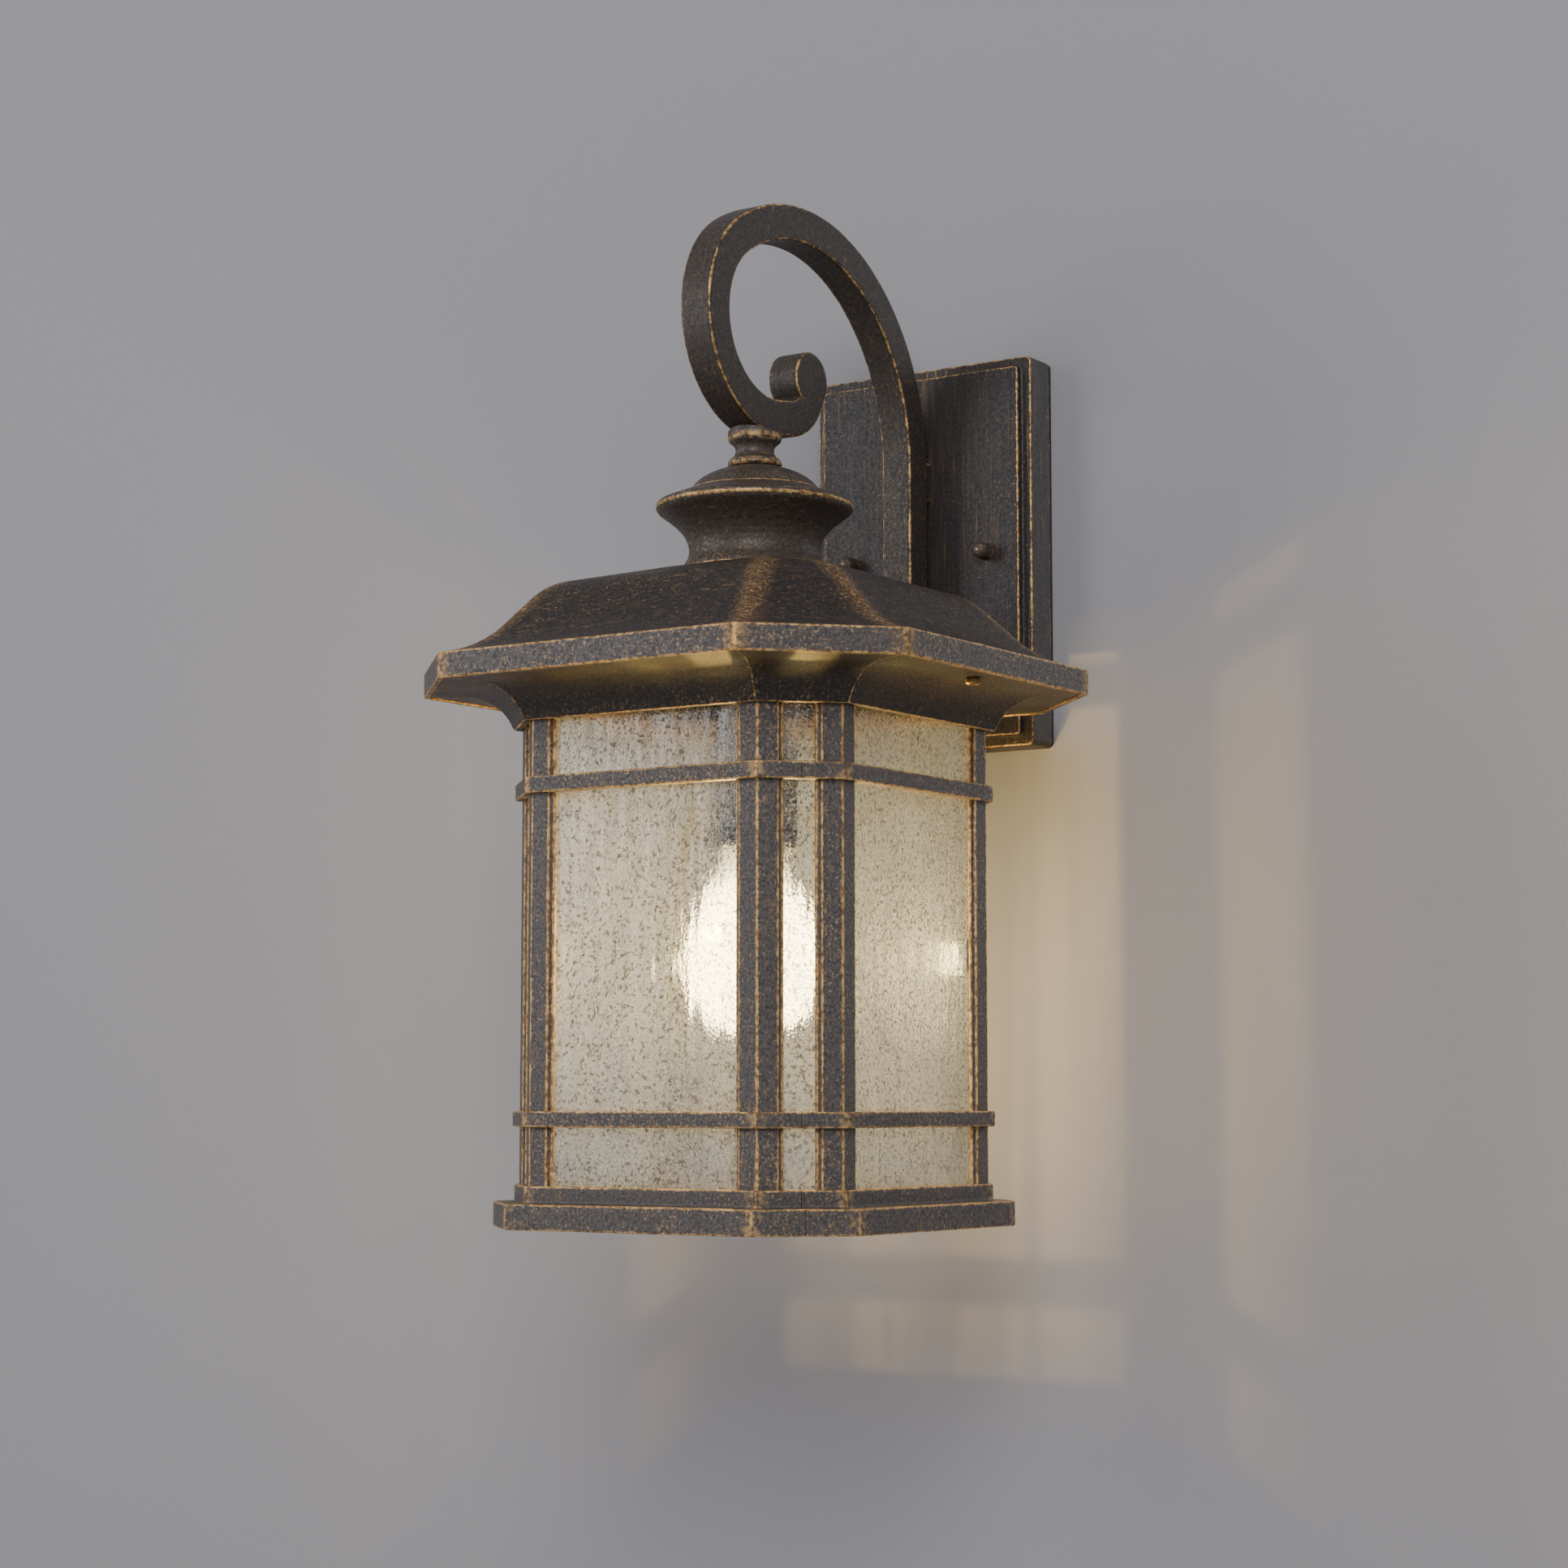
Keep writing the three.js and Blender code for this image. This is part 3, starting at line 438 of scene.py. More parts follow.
def worn_bronze(
    name, tones=CHARCOAL, brush=(1, 1, 4), specks=1.0, strokes=0.5, rub=0.0, line=1.0, sparse=0.68,
    above=None, corner=0.0,
):
    """Charcoal paint over bronze, dry-brushed with gold.

    Gold lies in a thin broken line on the edges, in fine specks that crowd near them, and in short
    strokes along brush. rub is how far bronze shows on the roof's ridges, corner is how much gold lies
    in patches at corners and collars, and a higher sparse leaves fewer specks. Above the height above,
    in metres, the paint is darkened to brown-black as painted shade on the roof above its fascia, and
    has no corner patches.
    """
    made, tree = material(name)
    times, plus, minus = arithmetic(tree)

    def most(a, b):
        return math_node(tree, "MAXIMUM", a, b)

    edge = node(tree, "Attribute", attribute_name="edge").outputs["Fac"]
    ridge = node(tree, "Attribute", attribute_name="ridge").outputs["Fac"]
    distance = times(minus(1.0, edge), EDGE_REACH)
    tooth = grain(tree, 1.15, 2.0)
    rough = grain(tree, 2.4, 3.0, seed=3.1)
    medium = grain(tree, 6.0, 3.0, seed=5.5)
    broad = grain(tree, 40.0, 3.0, seed=7.7)
    brushed = grain(tree, 1.2, 3.0, brush, seed=1.3)

    # The edge line: under a millimetre wide, thinner and thicker along its run, and chipped.
    width = fade(tree, medium, 0.32, 0.68, 0.42 * line, 0.90 * line)
    ragged = plus(distance, fade(tree, tooth, 0.3, 0.7, 0.15, -0.15))
    on_line = fade(tree, minus(ragged, width), 0.30, -0.10)
    on_line = times(on_line, fade(tree, rough, 0.36, 0.50, 0.70, 1.0))

    near = fade(tree, distance, 8.0, 0.5)
    patch = fade(tree, broad, 0.40, 0.64)
    crowd = math_node(tree, "ADD", times(near, 0.50), times(patch, 0.50), clamp=True)
    limit = fade(tree, crowd, 0.0, 1.0, sparse, sparse - 0.085)
    dots = times(fade(tree, minus(tooth, limit), 0.0, 0.05), specks)
    dashes = times(fade(tree, minus(brushed, limit), 0.0, 0.07), strokes)

    rubbed = times(times(fade(tree, ridge, 0.68, 0.99), fade(tree, rough, 0.25, 0.65, 0.35, 1.0)), rub)
    at_corner = times(times(fade(tree, ridge, 0.78, 0.98), fade(tree, rough, 0.40, 0.58)), corner)
    paint = mix(tree, fade(tree, tooth, 0.25, 0.62), *tones)
    if above is not None:
        # Painted shade: above the height above, the paint turns to darker brown-black tones.
        height = node(tree, "SeparateXYZ", {0: node(tree, "TexCoord").outputs["Object"]}).outputs["Z"]
        upper = mix(tree, fade(tree, tooth, 0.36, 0.66), *ROOF_TOP_SHADED_BROWN)
        in_top_shade = fade(tree, height, above - 0.0005, above + 0.0005)
        paint = mix(tree, in_top_shade, paint, upper)
        at_corner = times(at_corner, minus(1.0, in_top_shade))
    paint = mix(tree, fade(tree, brushed, 0.45, 0.75, 0.0, 0.30), paint, BROWN_RUB)
    paint = mix(tree, rubbed, paint, BROWN_RUB)
    gold = mix(tree, fade(tree, rough, 0.35, 0.62), DEEP_GOLD, PALE_GOLD)
    shown = most(times(on_line, 0.92), most(times(dots, 0.46), times(dashes, 0.36)))
    shown = most(shown, times(rubbed, fade(tree, tooth, 0.50, 0.62)))
    shown = most(shown, at_corner)

    relief = plus(times(tooth, 0.5), times(rough, 0.5))
    shader = node(tree, "BsdfPrincipled", {
        "Base Color": mix(tree, shown, paint, gold),
        "Metallic": fade(tree, shown, 0.0, 1.0, 0.15, 0.55),
        "Roughness": fade(tree, tooth, 0.3, 0.7, 0.60, 0.44),
        "Normal": bump(tree, relief, 0.5, 0.20),
    })
    output(tree, shader.outputs[0])
    return made


def plain(
    name, colour, roughness, metallic, grain_mm=0.6, relief_mm=0.05, second=None, stretch=(1, 1, 1),
):
    """A simple finish with its own colour variation, uneven gloss and fine relief."""
    made, tree = material(name)
    fine = grain(tree, grain_mm, 3.0, stretch)
    broad = grain(tree, 9 * grain_mm, 2.0, seed=2.0)
    other = second or tuple(0.72 * c for c in colour)
    shader = node(tree, "BsdfPrincipled", {
        "Base Color": mix(tree, fade(tree, broad, 0.3, 0.7), colour, other),
        "Metallic": metallic,
        "Roughness": fade(tree, fine, 0.25, 0.75, roughness * 0.8, min(1.0, roughness * 1.25)),
        "Normal": bump(tree, fine, 0.5, relief_mm),
    })
    output(tree, shader.outputs[0])
    return made


def for_lamps(tree, shader, clear):
    """Lets the light of lamps straight through, so that the glass casts no solid shadow."""
    lamp_ray = node(tree, "LightPath").outputs["Is Shadow Ray"]
    return node(tree, "MixShader", {0: lamp_ray, 1: shader, 2: clear}).outputs[0]


def seeded_glass():
    """Hand-made glass: a fine stipple of seeds, soft runs down the pane and a milky haze."""
    made, tree = material("seeded_glass")
    stipple = grain(tree, 1.25, 2.0)
    seeds = grain(tree, 1.6, 1.0, seed=6.0)
    runs = grain(tree, 6.5, 4.0, (1, 1, 4), seed=4.0)
    waves = grain(tree, 16.0, 3.0, (1, 1, 2.6), seed=9.0)
    times, plus, _ = arithmetic(tree)
    height = plus(plus(times(stipple, 0.26), times(runs, 0.75)), times(waves, 1.3))
    normal = bump(tree, height, 0.9, 0.50)
    bright = fade(tree, stipple, 0.57, 0.68)
    dark = fade(tree, seeds, 0.57, 0.68)
    run_haze = fade(tree, runs, 0.3, 0.7, 0.03, 0.10)
    wave_haze = fade(tree, waves, 0.3, 0.7, -0.02, 0.06)
    haze = math_node(tree, "ADD", plus(run_haze, wave_haze), times(bright, 0.38), clamp=True)
    body = node(tree, "BsdfPrincipled", {
        "Base Color": (0.62, 0.62, 0.62, 1.0), "Roughness": 0.22, "Normal": normal,
    })
    glow = node(tree, "BsdfTranslucent", {"Color": (0.86, 0.84, 0.79, 1.0), "Normal": normal})
    milky = node(tree, "MixShader", {0: 0.03, 1: body.outputs[0], 2: glow.outputs[0]})
    see = node(tree, "BsdfGlass", {
        "Color": mix(tree, dark, (0.83, 0.855, 0.895), (0.30, 0.30, 0.29)),
        "Roughness": 0.04, "IOR": 1.45, "Normal": normal,
    })
    whole = node(tree, "MixShader", {0: haze, 1: see.outputs[0], 2: milky.outputs[0]})
    streaks = fade(tree, grain(tree, 10.0, 2.0, (1, 1, 30), seed=2.0), 0.40, 0.62)
    let_through = mix(tree, streaks, (0.55, 0.54, 0.52), (0.98, 0.97, 0.95))
    passed = node(tree, "BsdfTransparent", {"Color": let_through})
    output(tree, for_lamps(tree, whole.outputs[0], passed.outputs[0]))
    return made


LAMP_COLOUR = (1.0, 0.76, 0.34)
LAMP_GLOW = 22.0
LAMP_DIM = 3.0  # glow of the lamp's neck, above the filament
LAMP_NECK_Z = (-0.180, -0.156)  # metres


def lit_glass():
    made, tree = material("lit_lamp_glass")
    cloud = grain(tree, 5.0, 2.0)
    height = node(tree, "SeparateXYZ", {0: node(tree, "TexCoord").outputs["Object"]}).outputs["Z"]
    shader = node(tree, "BsdfPrincipled", {
        "Base Color": mix(tree, fade(tree, cloud, 0.3, 0.7), (0.92, 0.88, 0.80), (0.85, 0.80, 0.70)),
        "Roughness": 0.45,
        "Emission Color": (*LAMP_COLOUR, 1.0),
        "Emission Strength": fade(tree, height, *LAMP_NECK_Z, LAMP_GLOW, LAMP_DIM),
    })
    output(tree, shader.outputs[0])
    return made


bronze = worn_bronze("worn_bronze", line=0.85, corner=0.5)
# The roof carries painted shade above its fascia, from -0.0712 m up.
bronze_roof = worn_bronze(
    "worn_bronze_roof", brush=(4, 4, 1), rub=0.62, sparse=0.672, above=-0.0712, corner=0.62,
)
# The soffit's near-black tones are painted shade.
bronze_soffit = worn_bronze(
    "worn_bronze_soffit", SOFFIT_SHADED_BLACK, specks=0.7, strokes=0.4, line=0.45, sparse=0.69,
)
# The plate's darker tones are painted shade.
bronze_plate = worn_bronze(
    "worn_bronze_plate", PLATE_SHADED_CHARCOAL, (1, 1, 30), 0.5, 0.9, line=0.9, sparse=0.69,
)
bronze_arm = worn_bronze("worn_bronze_arm", ARM_CHARCOAL, (1, 3, 3), 0.40, 0.35, sparse=0.70)
bronze_turned = worn_bronze(
    "worn_bronze_turned", WARM_CHARCOAL, (4, 4, 1), 0.7, 0.8, sparse=0.665, corner=0.6,
)
zinc = plain("zinc_steel", (0.55, 0.56, 0.57), 0.35, 0.9, stretch=(1, 1, 4))
brass = plain("aged_brass", (0.42, 0.26, 0.09), 0.34, 0.9, second=(0.20, 0.12, 0.05))
black_plastic = plain("black_phenolic", (0.014, 0.013, 0.013), 0.38, 0.0, second=(0.022, 0.020, 0.019))
nylon = plain("white_nylon", (0.72, 0.71, 0.67), 0.5, 0.0)
foam = plain("gasket_foam", (0.020, 0.020, 0.022), 0.95, 0.0, grain_mm=0.8, relief_mm=0.3)
silicone = plain("lead_sleeve", (0.24, 0.035, 0.020), 0.6, 0.0)
glass = seeded_glass()
lamp_glass = lit_glass()

BODY_OF = {n: body for body, nodes in record["behaviour"]["bodies"].items() for n in nodes}


def finished(obj, look, node_name, angle=32):
    """Gives a new piece its finish, puts it on its node's body, and lets it stand for the node."""
    obj.data.materials.clear()
    obj.data.materials.append(look)
    smooth(obj, angle)
    obj.name = node_name + "_fine"
    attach(obj, BODY_OF[node_name])
    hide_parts(node_name)
    return obj


def carried(node_name, look, bevel_mm=0.25):
    """Keeps a CAD node, with eased edges and a finish."""
    obj = frame["nodes"][node_name]
    obj.data.materials.clear()
    obj.data.materials.append(look)
    if bevel_mm:
        ease = obj.modifiers.new("eased_edges", "BEVEL")
        ease.width = bevel_mm * MM
        ease.segments = 2
        ease.limit_method = "ANGLE"
        ease.angle_limit = math.radians(35)
        ease.harden_normals = True
    return obj


# ---- camera
CAMERA_AT = (0.7835, -1.3163, -0.2623)
CAMERA_LENS = 71.79
CAMERA_SENSOR = 36
CAMERA_UP = 5.75
CAMERA_TURN = 33.74
camera = placed("camera", bpy.data.cameras.new("camera"))
camera.data.lens = CAMERA_LENS
camera.data.sensor_width = CAMERA_SENSOR
camera.location = CAMERA_AT
camera.rotation_euler = (math.radians(90 + CAMERA_UP), 0, math.radians(CAMERA_TURN))
bpy.context.scene.camera = camera

# ---- wall plate
PLATE_HALF_X = plate_high[0]
PLATE_HALF_Z = plate_high[2]
PLATE_BACK = plate_high[1]
PLATE_FRONT = plate_low[1]
PLATE_LEDGE = PLATE_FRONT + 4.0
FIELD_INSET = 5.1
PLATE_SKIN = 3.0
PLATE_CORNER = 3.0
PLATE_DEEPEST = 53.0  # inset of the last ring, a thin upright rectangle in the middle
STUD_X = 38.0
ARM_SCREW_Z = (37.0, -43.0)
WIRE_ENTRY_Z = -30.0
STUD_HOLE, ARM_SCREW_HOLE, WIRE_HOLE = 2.9, 2.7, 4.2  # radii


def rectangle_ring(inset):
    """Points round a rectangle with rounded corners in the X-Z plane."""
    half_x, half_z = PLATE_HALF_X - inset, PLATE_HALF_Z - inset
    radius = max(PLATE_CORNER - inset, 2.2 if inset < 12 else 0.6)
    spots = (4.0, 8.0, 14.0)
    rows = []
    for quarter in range(4):
        turn = quarter * math.pi / 2
        sx, sz = (1, -1, -1, 1)[quarter], (1, 1, -1, -1)[quarter]
        cx, cz = sx * (half_x - radius), sz * (half_z - radius)
        for t in range(7):
            angle = turn + t * math.pi / 12
            rows.append((cx + radius * math.cos(angle), cz + radius * math.sin(angle)))
        run = 2 * (half_x if quarter % 2 == 0 else half_z) - 2 * radius
        scale = min(1.0, 0.4 * run / spots[-1])
        way = ((-1, 0), (0, -1), (1, 0), (0, 1))[quarter]
        start = rows[-1]
        for d in [*(s * scale for s in spots), run / 2, *(run - s * scale for s in reversed(spots))]:
            rows.append((start[0] + way[0] * d, start[1] + way[1] * d))
    return rows


def make_backplate():
    """The stepped plate: a skin that runs from behind the field, round its rim, to the field's front."""
    front, back, ledge = PLATE_FRONT, PLATE_BACK, PLATE_LEDGE
    deep, skin = PLATE_DEEPEST, PLATE_SKIN
    outline = [
        (deep, front), (FIELD_INSET, front), (FIELD_INSET, ledge), (0, ledge), (0, back),
        (skin, back), (skin, ledge + skin), (FIELD_INSET + skin, ledge + skin),
        (FIELD_INSET + skin, front + skin), (deep, front + skin),
    ]
    rows = rounded(outline, 1.0)
    last = deep - 1.5  # rows further in than this are left out
    start = next(i for i, row in enumerate(rows) if row[0] < last <= rows[i - 1][0])
    rows = [row for row in rows[start:] + rows[:start] if row[0] < last]
    rows = [(deep, front + skin, 0), *rows, (deep, front, 0)]
    worn_at = [(FIELD_INSET, front), (0, ledge), (0, back)]
    verts, edge = [], []
    for inset, y, _ in rows:
        worn = min(math.hypot(inset - a, y - b) for a, b in worn_at)
        for x, z in rectangle_ring(inset):
            verts.append((x, y, z))
            edge.append(closeness(worn, EDGE_REACH))
    faces = drawn_faces(len(rows), len(rectangle_ring(0)))
    plate = piece("backplate", verts, faces, edge, at_axis=False)
    drills = [(x, 0.0, STUD_HOLE) for x in (-STUD_X, STUD_X)]
    drills += [(0.0, z, ARM_SCREW_HOLE) for z in ARM_SCREW_Z]
    drills.append((0.0, WIRE_ENTRY_Z, WIRE_HOLE))
    for x, z, radius in drills:
        profile = [(0, front - 2), (radius, front - 2), (radius, front + 8), (0, front + 8)]
        plate = cut(plate, lathe("drill", profile, (x, z), 28, 0.01, "y", at_axis=False))
    return plate


finished(make_backplate(), bronze_plate, "backplate", angle=28)


def make_cap_nut(side):
    low, high = box_mm(f"cap_nut_{side}")
    x = (low[0] + high[0]) / 2
    back, tip, r = high[1], low[1], (high[0] - low[0]) / 2
    bore, bore_end = 2.65, back - 7.6
    profile = [
        (0, tip), (1.6, tip + 0.15), (2.8, tip + 0.75), (3.6, tip + 1.7), (r, tip + 2.9),
        (r, back), (bore, back), (bore, bore_end), (0, bore_end),
    ]
    return lathe("nut", profile, (x, 0), 48, 0.35, "y", at_axis=False)


for word in ("left", "right"):
    finished(make_cap_nut(word), bronze_turned, f"cap_nut_{word}")

# ---- scroll arm
BAR_DEEP = 16.4
BAR_WIDE = arm_high[0] - arm_low[0]
LEG_Y = -37.4
LEG_BOTTOM = -54.0
LEG_TOP = 42.0
# After the leg: a turn with its radius and its degrees, or a line with its length.
SWEEPS = (("turn", 97.0, 122.0), ("turn", 43.0, 156.0), ("line", 10.0, 0.0), ("turn", 21.5, 85.0))
CURL_AT = np.array((-131.5, 67.5))
CURL_RADIUS = 13.0
ARM_ROUND = 1.5
BOSS_HALF = 7.0
BOSS_HEIGHTS = ((27.5, 46.5), (-50.0, -22.0))
CASTING_GAP = 0.3


def arm_line(step_mm=3.2):
    """The bar's middle line: (y, z, heading in radians from +Y towards +Z)."""
    spot = np.array((LEG_Y, LEG_BOTTOM))
    heading = math.pi / 2
    rows = [(*spot, heading)]
    for kind, size, turn in (("line", LEG_TOP - LEG_BOTTOM, 0.0), *SWEEPS):
        if kind == "line":
            count = math.ceil(size / 8)
            for _ in range(count):
                spot = spot + np.array((math.cos(heading), math.sin(heading))) * size / count
                rows.append((*spot, heading))
            continue
        bend = math.radians(turn)
        count = math.ceil(size * bend / step_mm)
        centre = spot + size * np.array((-math.sin(heading), math.cos(heading)))
        start = heading
        for i in range(1, count + 1):
            heading = start + bend * i / count
            spot = centre + size * np.array((math.sin(heading), -math.cos(heading)))
            rows.append((*spot, heading))
    return rows


def make_arm():
    half_w, half_d = BAR_WIDE / 2, BAR_DEEP / 2
    bar = [(-half_w, -half_d), (half_w, -half_d), (half_w, half_d), (-half_w, half_d)]
    section = rounded(bar, ARM_ROUND)
    line = arm_line()
    verts, edge = [], []
    for y, z, heading in line:
        out = np.array((math.sin(heading), -math.cos(heading)))
        for across, depth, worn in section:
            spot = np.array((y, z)) + out * depth
            inside = CURL_RADIUS - np.hypot(*(spot - CURL_AT))
            if inside > 0:
                worn = max(worn, inside)
            verts.append((across, spot[0], min(spot[1], arm_high[2])))
            edge.append(closeness(worn, EDGE_REACH))
    arm = piece("arm", verts, drawn_faces(len(line), len(section)), edge, at_axis=False)

    def disc(y, z, radius, wide):
        profile = [(0, -wide), (radius, -wide), (radius, wide), (0, wide)]
        made = lathe("disc", profile, (0, 0), 64, ARM_ROUND, "z", at_axis=False)
        made.data.transform(Matrix.Rotation(math.pi / 2, 4, "Y"))
        made.data.transform(Matrix.Translation((0, y * MM, z * MM)))
        return made

    starts, ends = LEG_Y + (BAR_DEEP / 2 - 1), PLATE_FRONT - CASTING_GAP
    bosses = [
        block("boss", (-BOSS_HALF, starts, low), (BOSS_HALF, ends, high), 1.2)
        for low, high in BOSS_HEIGHTS
    ]
    return join(
        arm,
        disc(*CURL_AT, CURL_RADIUS, half_w - 0.01),
        disc(LEG_Y, LEG_BOTTOM, half_d - 0.02, half_w - 0.01),
        *bosses,
    )


finished(make_arm(), bronze_arm, "scroll_arm", angle=30)


def scoop_height(y):
    """Underside of the scroll above the neck, less the gap the castings keep."""
    (_, big, big_turn), (_, small, small_turn) = SWEEPS[:2]
    heading = math.radians(90 + big_turn)
    start = np.array((LEG_Y - big, LEG_TOP))
    mid = start + big * np.array((math.sin(heading), -math.cos(heading)))
    centre = mid + small * np.array((-math.sin(heading), math.cos(heading)))
    reach = small + BAR_DEEP / 2
    lean = math.radians(90 + big_turn + small_turn - 360)
    last = centre[0] + reach * math.sin(lean)
    if y < last:
        return centre[1] - math.sqrt(reach**2 - (y - centre[0]) ** 2) - CASTING_GAP
    return centre[1] - reach * math.cos(lean) + (y - last) * math.tan(lean) - CASTING_GAP


BORE = 5.4  # radius of the way for the nipple in every piece it goes through
COLLARS = (22.8, 34.5)
COLLAR_INSIDE = 10.8  # a point further out than this is on a collar


def make_finial():
    profile = [
        (BORE, 21.0), (10.9, 21.0), (11.8, 21.5), (12.25, 22.4), (12.2, 23.4), (11.4, 24.6),
        (9.8, 25.9), (8.95, 27.2), (8.7, 28.6), (8.9, 30.0), (9.6, 31.2), (11.0, 32.3), (11.8, 33.2),
        (12.2, 34.4), (12.25, 35.6), (12.1, 37.6), (12.0, 39.5), (BORE, 39.5),
    ]
    made = lathe("finial", profile, (0, 0), 72, 0.4)
    for v in made.data.vertices:
        v.co.z = min(v.co.z, scoop_height(v.co.y / MM) * MM)

    def from_collar(r, z):
        return min(abs(z - at) for at in COLLARS) if r > COLLAR_INSIDE else math.inf

    set_wear(made, "edge", lambda r, z: closeness(2 * from_collar(r, z), 9))
    set_wear(made, "ridge", lambda r, z: closeness(from_collar(r, z), EDGE_REACH))
    return made


finished(make_finial(), bronze_turned, "neck_finial")


def make_cap():
    seat = -26.2
    outside = [
        (33.0, seat), (32.6, -24.9), (31.5, -23.0), (30.2, -20.9), (29.7, -18.8), (29.6, -16.5),
        (30.1, -13.8), (31.4, -10.9), (33.2, -8.3), (36.0, -5.4), (38.8, -3.1), (41.5, -1.1),
        (43.2, 0.1), (44.2, 1.2), (44.68, 2.6), (44.45, 3.9), (43.4, 4.95), (41.5, 5.75),
        (38.0, 7.1), (34.0, 8.6), (30.6, 9.9), (29.3, 10.5), (28.6, 11.5), (27.0, 13.4),
        (24.6, 15.5), (21.6, 17.3), (18.2, 18.8), (15.2, 19.9), (12.6, 20.6), (10.0, 20.7),
        (BORE, 20.7),
    ]
    inside = [
        (BORE, 17.4), (14, 16.9), (20, 14.6), (24.6, 10.6), (26.4, 6), (26.6, -10),
        (26.2, -18), (28.6, seat),
    ]
    made = lathe("cap", outside + inside, (0, 0), 128, 0.5)
    rims = ((44.68, 2.6, 1.0), (29.3, 10.4, 1.6), (33.0, seat, 1.4))  # radius, height, sharpness
    set_wear(made, "edge", lambda r, z: max(
        closeness(math.hypot(r - a, z - b) * k, EDGE_REACH) for a, b, k in rims
    ))
    return made


finished(make_cap(), bronze_turned, "top_cap")

# ---- roof and eaves
FASCIA_BOTTOM = roof_low[2]
FASCIA_TOP = -71.7
ROOF_SEAT = roof_high[2]
ROOF_SKIN = 2.8
SHOULDER_Z = -34.9
SHOULDER_ROUND = 34.0
FLARE_ROUND = 52.7
ROOF_SLOPES = tuple(math.radians(a) for a in (11, 47, 8))  # at the shoulder, the fall, the eave


def ogee(inset, steps=9):
    """The roof's side from shoulder to eave: a round shoulder, a straight fall, a flared foot."""
    flat, steep, foot = ROOF_SLOPES
    top, low = SHOULDER_ROUND, FLARE_ROUND
    near = (SHOULDER_OFFSET - top * math.sin(flat), SHOULDER_Z - top * math.cos(flat))
    far = (FASCIA_PROUD + low * math.sin(foot), FASCIA_TOP + low * math.cos(foot))
    points = []
    for centre, reach, start, end in (
        (near, top - inset, flat, steep), (far, -(low + inset), steep, foot),
    ):
        for i in range(steps):
            a = start + (end - start) * i / (steps - 1)
            points.append((centre[0] + reach * math.sin(a), centre[1] + reach * math.cos(a)))
    return points


def tube(name, inner, outer, low, high, centre=(0, 0), sides=48):
    return lathe(name, [(inner, low), (outer, low), (outer, high), (inner, high)], centre, sides, 0.2)


def rod(name, radius, low, high, centre=(0, 0), sides=32):
    return lathe(name, [(0, low), (radius, low), (radius, high), (0, high)], centre, sides, 0.02)


EAVE_X = 113.0
EAVE_BOSS = (4.5, -79.6, -68.4)  # radius, bottom and top
EAVE_BORE = (2.3, -81.0, -71.5)
ROOF_TOP = 34 - HALF  # offset where the roof's flat top begins
ROOF_HOLE = 12 - HALF
SCREW_RING = HALF - 10
SCREW_SPOTS = ((0, -SCREW_RING), (SCREW_RING, 0), (0, SCREW_RING), (-SCREW_RING, 0))


def make_roof():
    outside = list(reversed(ogee(0)))
    inside = [p for p in ogee(ROOF_SKIN) if p[0] < FASCIA_PROUD - ROOF_SKIN]
    under = ROOF_SEAT - ROOF_SKIN
    profile = [
        (FASCIA_PROUD, FASCIA_BOTTOM), *outside, (ROOF_TOP, ROOF_SEAT), (ROOF_HOLE, ROOF_SEAT),
        (ROOF_HOLE, under), (ROOF_TOP - 0.6, under), *inside,
        (FASCIA_PROUD - ROOF_SKIN, FASCIA_TOP - 3.4), (FASCIA_PROUD - ROOF_SKIN, FASCIA_BOTTOM),
    ]
    roof = ring_moulding("roof", profile, 0.9, 1.5, lambda offset, z: offset > FASCIA_PROUD - 1)
    join(roof, tube("washer_seat", BORE, 13.5, under + 0.02, ROOF_SEAT - 0.02))
    for x in (-EAVE_X, EAVE_X):
        boss = rod("boss", *EAVE_BOSS, (x, 0))
        join(roof, cut(boss, rod("hole", *EAVE_BORE, (x, 0))))
    return roof


finished(make_roof(), bronze_roof, "roof_shell", angle=24)

COVE_AT = (25.3, -105.3)
COVE_ROUND = 22.3
TRAY_SKIN = 3.0
COVE_BOTTOM = -98.4
RAIL_TOP = -88.4
FLANGE_END = -16.0  # offset where the inner flanges of tray and rail end


def make_tray():
    def on_cove(radius, degrees):
        a = math.radians(degrees)
        return (COVE_AT[0] + radius * math.cos(a), COVE_AT[1] + radius * math.sin(a))

    rim, rim_wide = FASCIA_PROUD - ROOF_SKIN - 0.6, 2.4
    under, over = RAIL_TOP + 0.3, RAIL_TOP + 2.8
    profile = [(rim, -82.4)]
    profile += [on_cove(COVE_ROUND, 92 + 5.6667 * i) for i in range(13)]
    profile += [(3.7, COVE_BOTTOM), (0.4, COVE_BOTTOM), (0.4, under), (FLANGE_END, under)]
    profile += [(FLANGE_END, over), (9.2, over)]
    profile += [on_cove(COVE_ROUND + TRAY_SKIN, a) for a in (128, 119, 110, 101, 92)]
    profile += [(rim - rim_wide, -79.6), (rim - rim_wide, tray_high[2]), (rim, tray_high[2])]
    tray = ring_moulding("tray", profile, 0.6, 1.2, lambda offset, z: z < -82 and offset > 3)
    for x in (-EAVE_X, EAVE_X):
        tray = cut(tray, rod("hole", 2.4, -90, -70, (x, 0)))
    for spot in SCREW_SPOTS:
        tray = cut(tray, rod("hole", 2.2, -95, -80, spot))
    return tray


finished(make_tray(), bronze_soffit, "soffit_tray", angle=24)

# ---- screws
def cross_recess(x, y, face, size):
    """Two small crossed blades that cut a screwdriver's recess into a head's underside."""
    blades = []
    low, high = face - 1, face + size * 0.45
    around = ((-1, -1), (1, -1), (1, 1), (-1, 1))
    faces = [(3, 2, 1, 0), (4, 5, 6, 7), (0, 1, 5, 4), (1, 2, 6, 5), (2, 3, 7, 6), (3, 0, 4, 7)]
    for wide, deep in ((size, size * 0.24), (size * 0.24, size)):
        verts = [
            (x + sx * wide / 2, y + sy * deep / 2, z) for z in (low, high) for sx, sy in around
        ]
        blades.append(piece("blade", verts, faces))
    return blades


